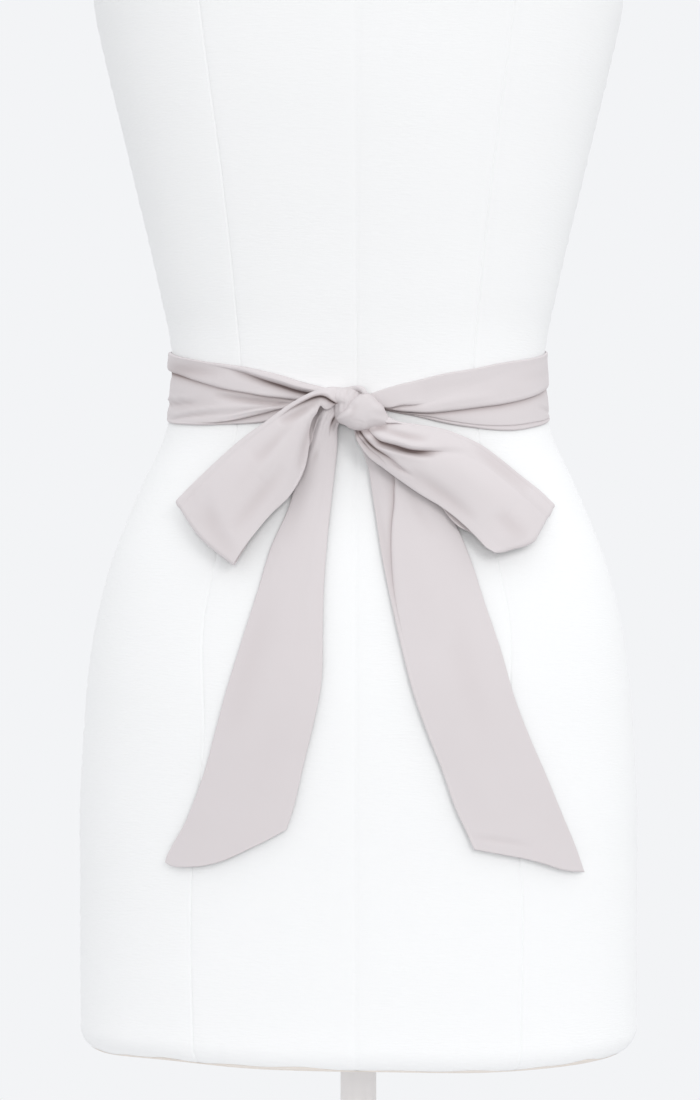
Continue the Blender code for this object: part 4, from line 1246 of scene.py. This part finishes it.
def rolled(name, rows):
    """A thin roll along a curve."""
    x, y, z, radius = read_sections(rows, np.linspace(0, len(rows) - 1, ROLL_RINGS))
    middle = np.stack((x, y, z), axis=1)
    ahead = unit(np.gradient(middle, axis=0))
    side = unit(np.cross(ahead, (0, 1, 0)))
    up = np.cross(ahead, side)
    turn = np.linspace(0, 2 * math.pi, ROLL_COLUMNS, endpoint=False)[:, None]
    spoke = side[:, None] * np.cos(turn) + up[:, None] * np.sin(turn)
    return wrapped_grid(name, middle[:, None] + spoke * radius[:, None, None], satin, "satin")


curl = rolled("knot_curled_edge", CURL_EDGE)

# %% [markdown]
# ## The cut
# All of the sash is one strip, cut and sewn to 63.5 mm wide. Where the cloth is gathered or pleated, part
# of the strip is hidden in the gathers.

# %% [markdown]
# ## Floor and light
# The light is bright and nearly without shadow. A pale sky fills everything, weaker from below and from the
# bow's side and stronger from above. One large soft panel from the right and above gives the gentle
# shading, and a second one in front flattens it. The floor is a pale disc that fades out, so it has no
# edge.

# %% Floor
FLOOR_RADIUS, CLEAR_RADIUS = 1.6, 0.5
FLOOR_COLOUR = (0.86, 0.865, 0.875)
FLOOR_DROP = 0.0005  # below the foot, so that the two faces don't fight


def make_floor():
    shape = bmesh.new()
    bmesh.ops.create_circle(shape, cap_ends=True, segments=128, radius=FLOOR_RADIUS)
    for vertex in shape.verts:
        vertex.co.z = -FLOOR_DROP
    material, tree, shader = new_material("floor")
    place = node(tree, "ShaderNodeTexCoord").outputs["Object"]
    distance = node(tree, "ShaderNodeVectorMath", operation="LENGTH", Vector=place).outputs["Value"]
    fade = ranged(distance, 1.0, 0.0, CLEAR_RADIUS, FLOOR_RADIUS)
    set_inputs(shader, Base_Color=FLOOR_COLOUR, Roughness=0.9, Alpha=fade)
    add_object("floor", shape, material)


make_floor()

# %% Light
SKY = (0.896, 0.905, 0.922)
# height of a direction, strength of the sky there
SKY_STRENGTHS = ((-0.45, 0.66), (-0.19, 1.0), (0.19, 1.0), (0.6, 1.45))
# the same from the side of the camera, at -1, to the far side, at 1
SIDE_STRENGTHS = ((-1.0, 0.55), (-0.5, 0.8), (-0.05, 1.15), (0.45, 1.0))
# name, place, point it faces, width and height, power in watts
PANELS = (
    ("panel_key", (1.5, -3.3, 2.4), (0, 0, 1.0), 1.5, 32),
    ("panel_front", (-0.3, -3.9, 1.25), (0, 0, 1.05), 1.4, 32),
)

world = bpy.data.worlds.new("studio")
bpy.context.scene.world = world
world.use_nodes = True
sky_tree = world.node_tree
direction = node(sky_tree, "ShaderNodeTexCoord").outputs["Generated"]
parts = node(sky_tree, "ShaderNodeSeparateXYZ", Vector=direction).outputs


def strength_along(axis, rows):
    """Half the strength of the sky, by one part of the direction."""
    place = math_node("MULTIPLY_ADD", parts[axis], 0.5, 0.5)
    ramp = node(sky_tree, "ShaderNodeValToRGB", Fac=place)
    ramp.color_ramp.interpolation = "EASE"
    elements = ramp.color_ramp.elements
    for index, (part, strength) in enumerate(rows):
        position = (part + 1) / 2
        element = elements[index] if index < 2 else elements.new(position)
        element.position = position
        element.color = (strength / 2, strength / 2, strength / 2, 1)
    return ramp.outputs["Color"]


quarter = math_node("MULTIPLY", strength_along("Z", SKY_STRENGTHS), strength_along("Y", SIDE_STRENGTHS))
set_inputs(sky_tree.nodes["Background"], Color=SKY, Strength=math_node("MULTIPLY", quarter, 4))

for name, place, target, size, power in PANELS:
    light = bpy.data.lights.new(name, "AREA")
    light.size = size
    light.energy = power
    panel = bpy.data.objects.new(name, light)
    panel.location = place
    x, y, z = [aim - start for aim, start in zip(target, place)]
    panel.rotation_euler = (math.atan2(math.hypot(x, y), -z), 0, math.atan2(-x, y))
    bpy.context.scene.collection.objects.link(panel)

bpy.context.scene.view_settings.view_transform = "Standard"
print("lights", [panel[0] for panel in PANELS])
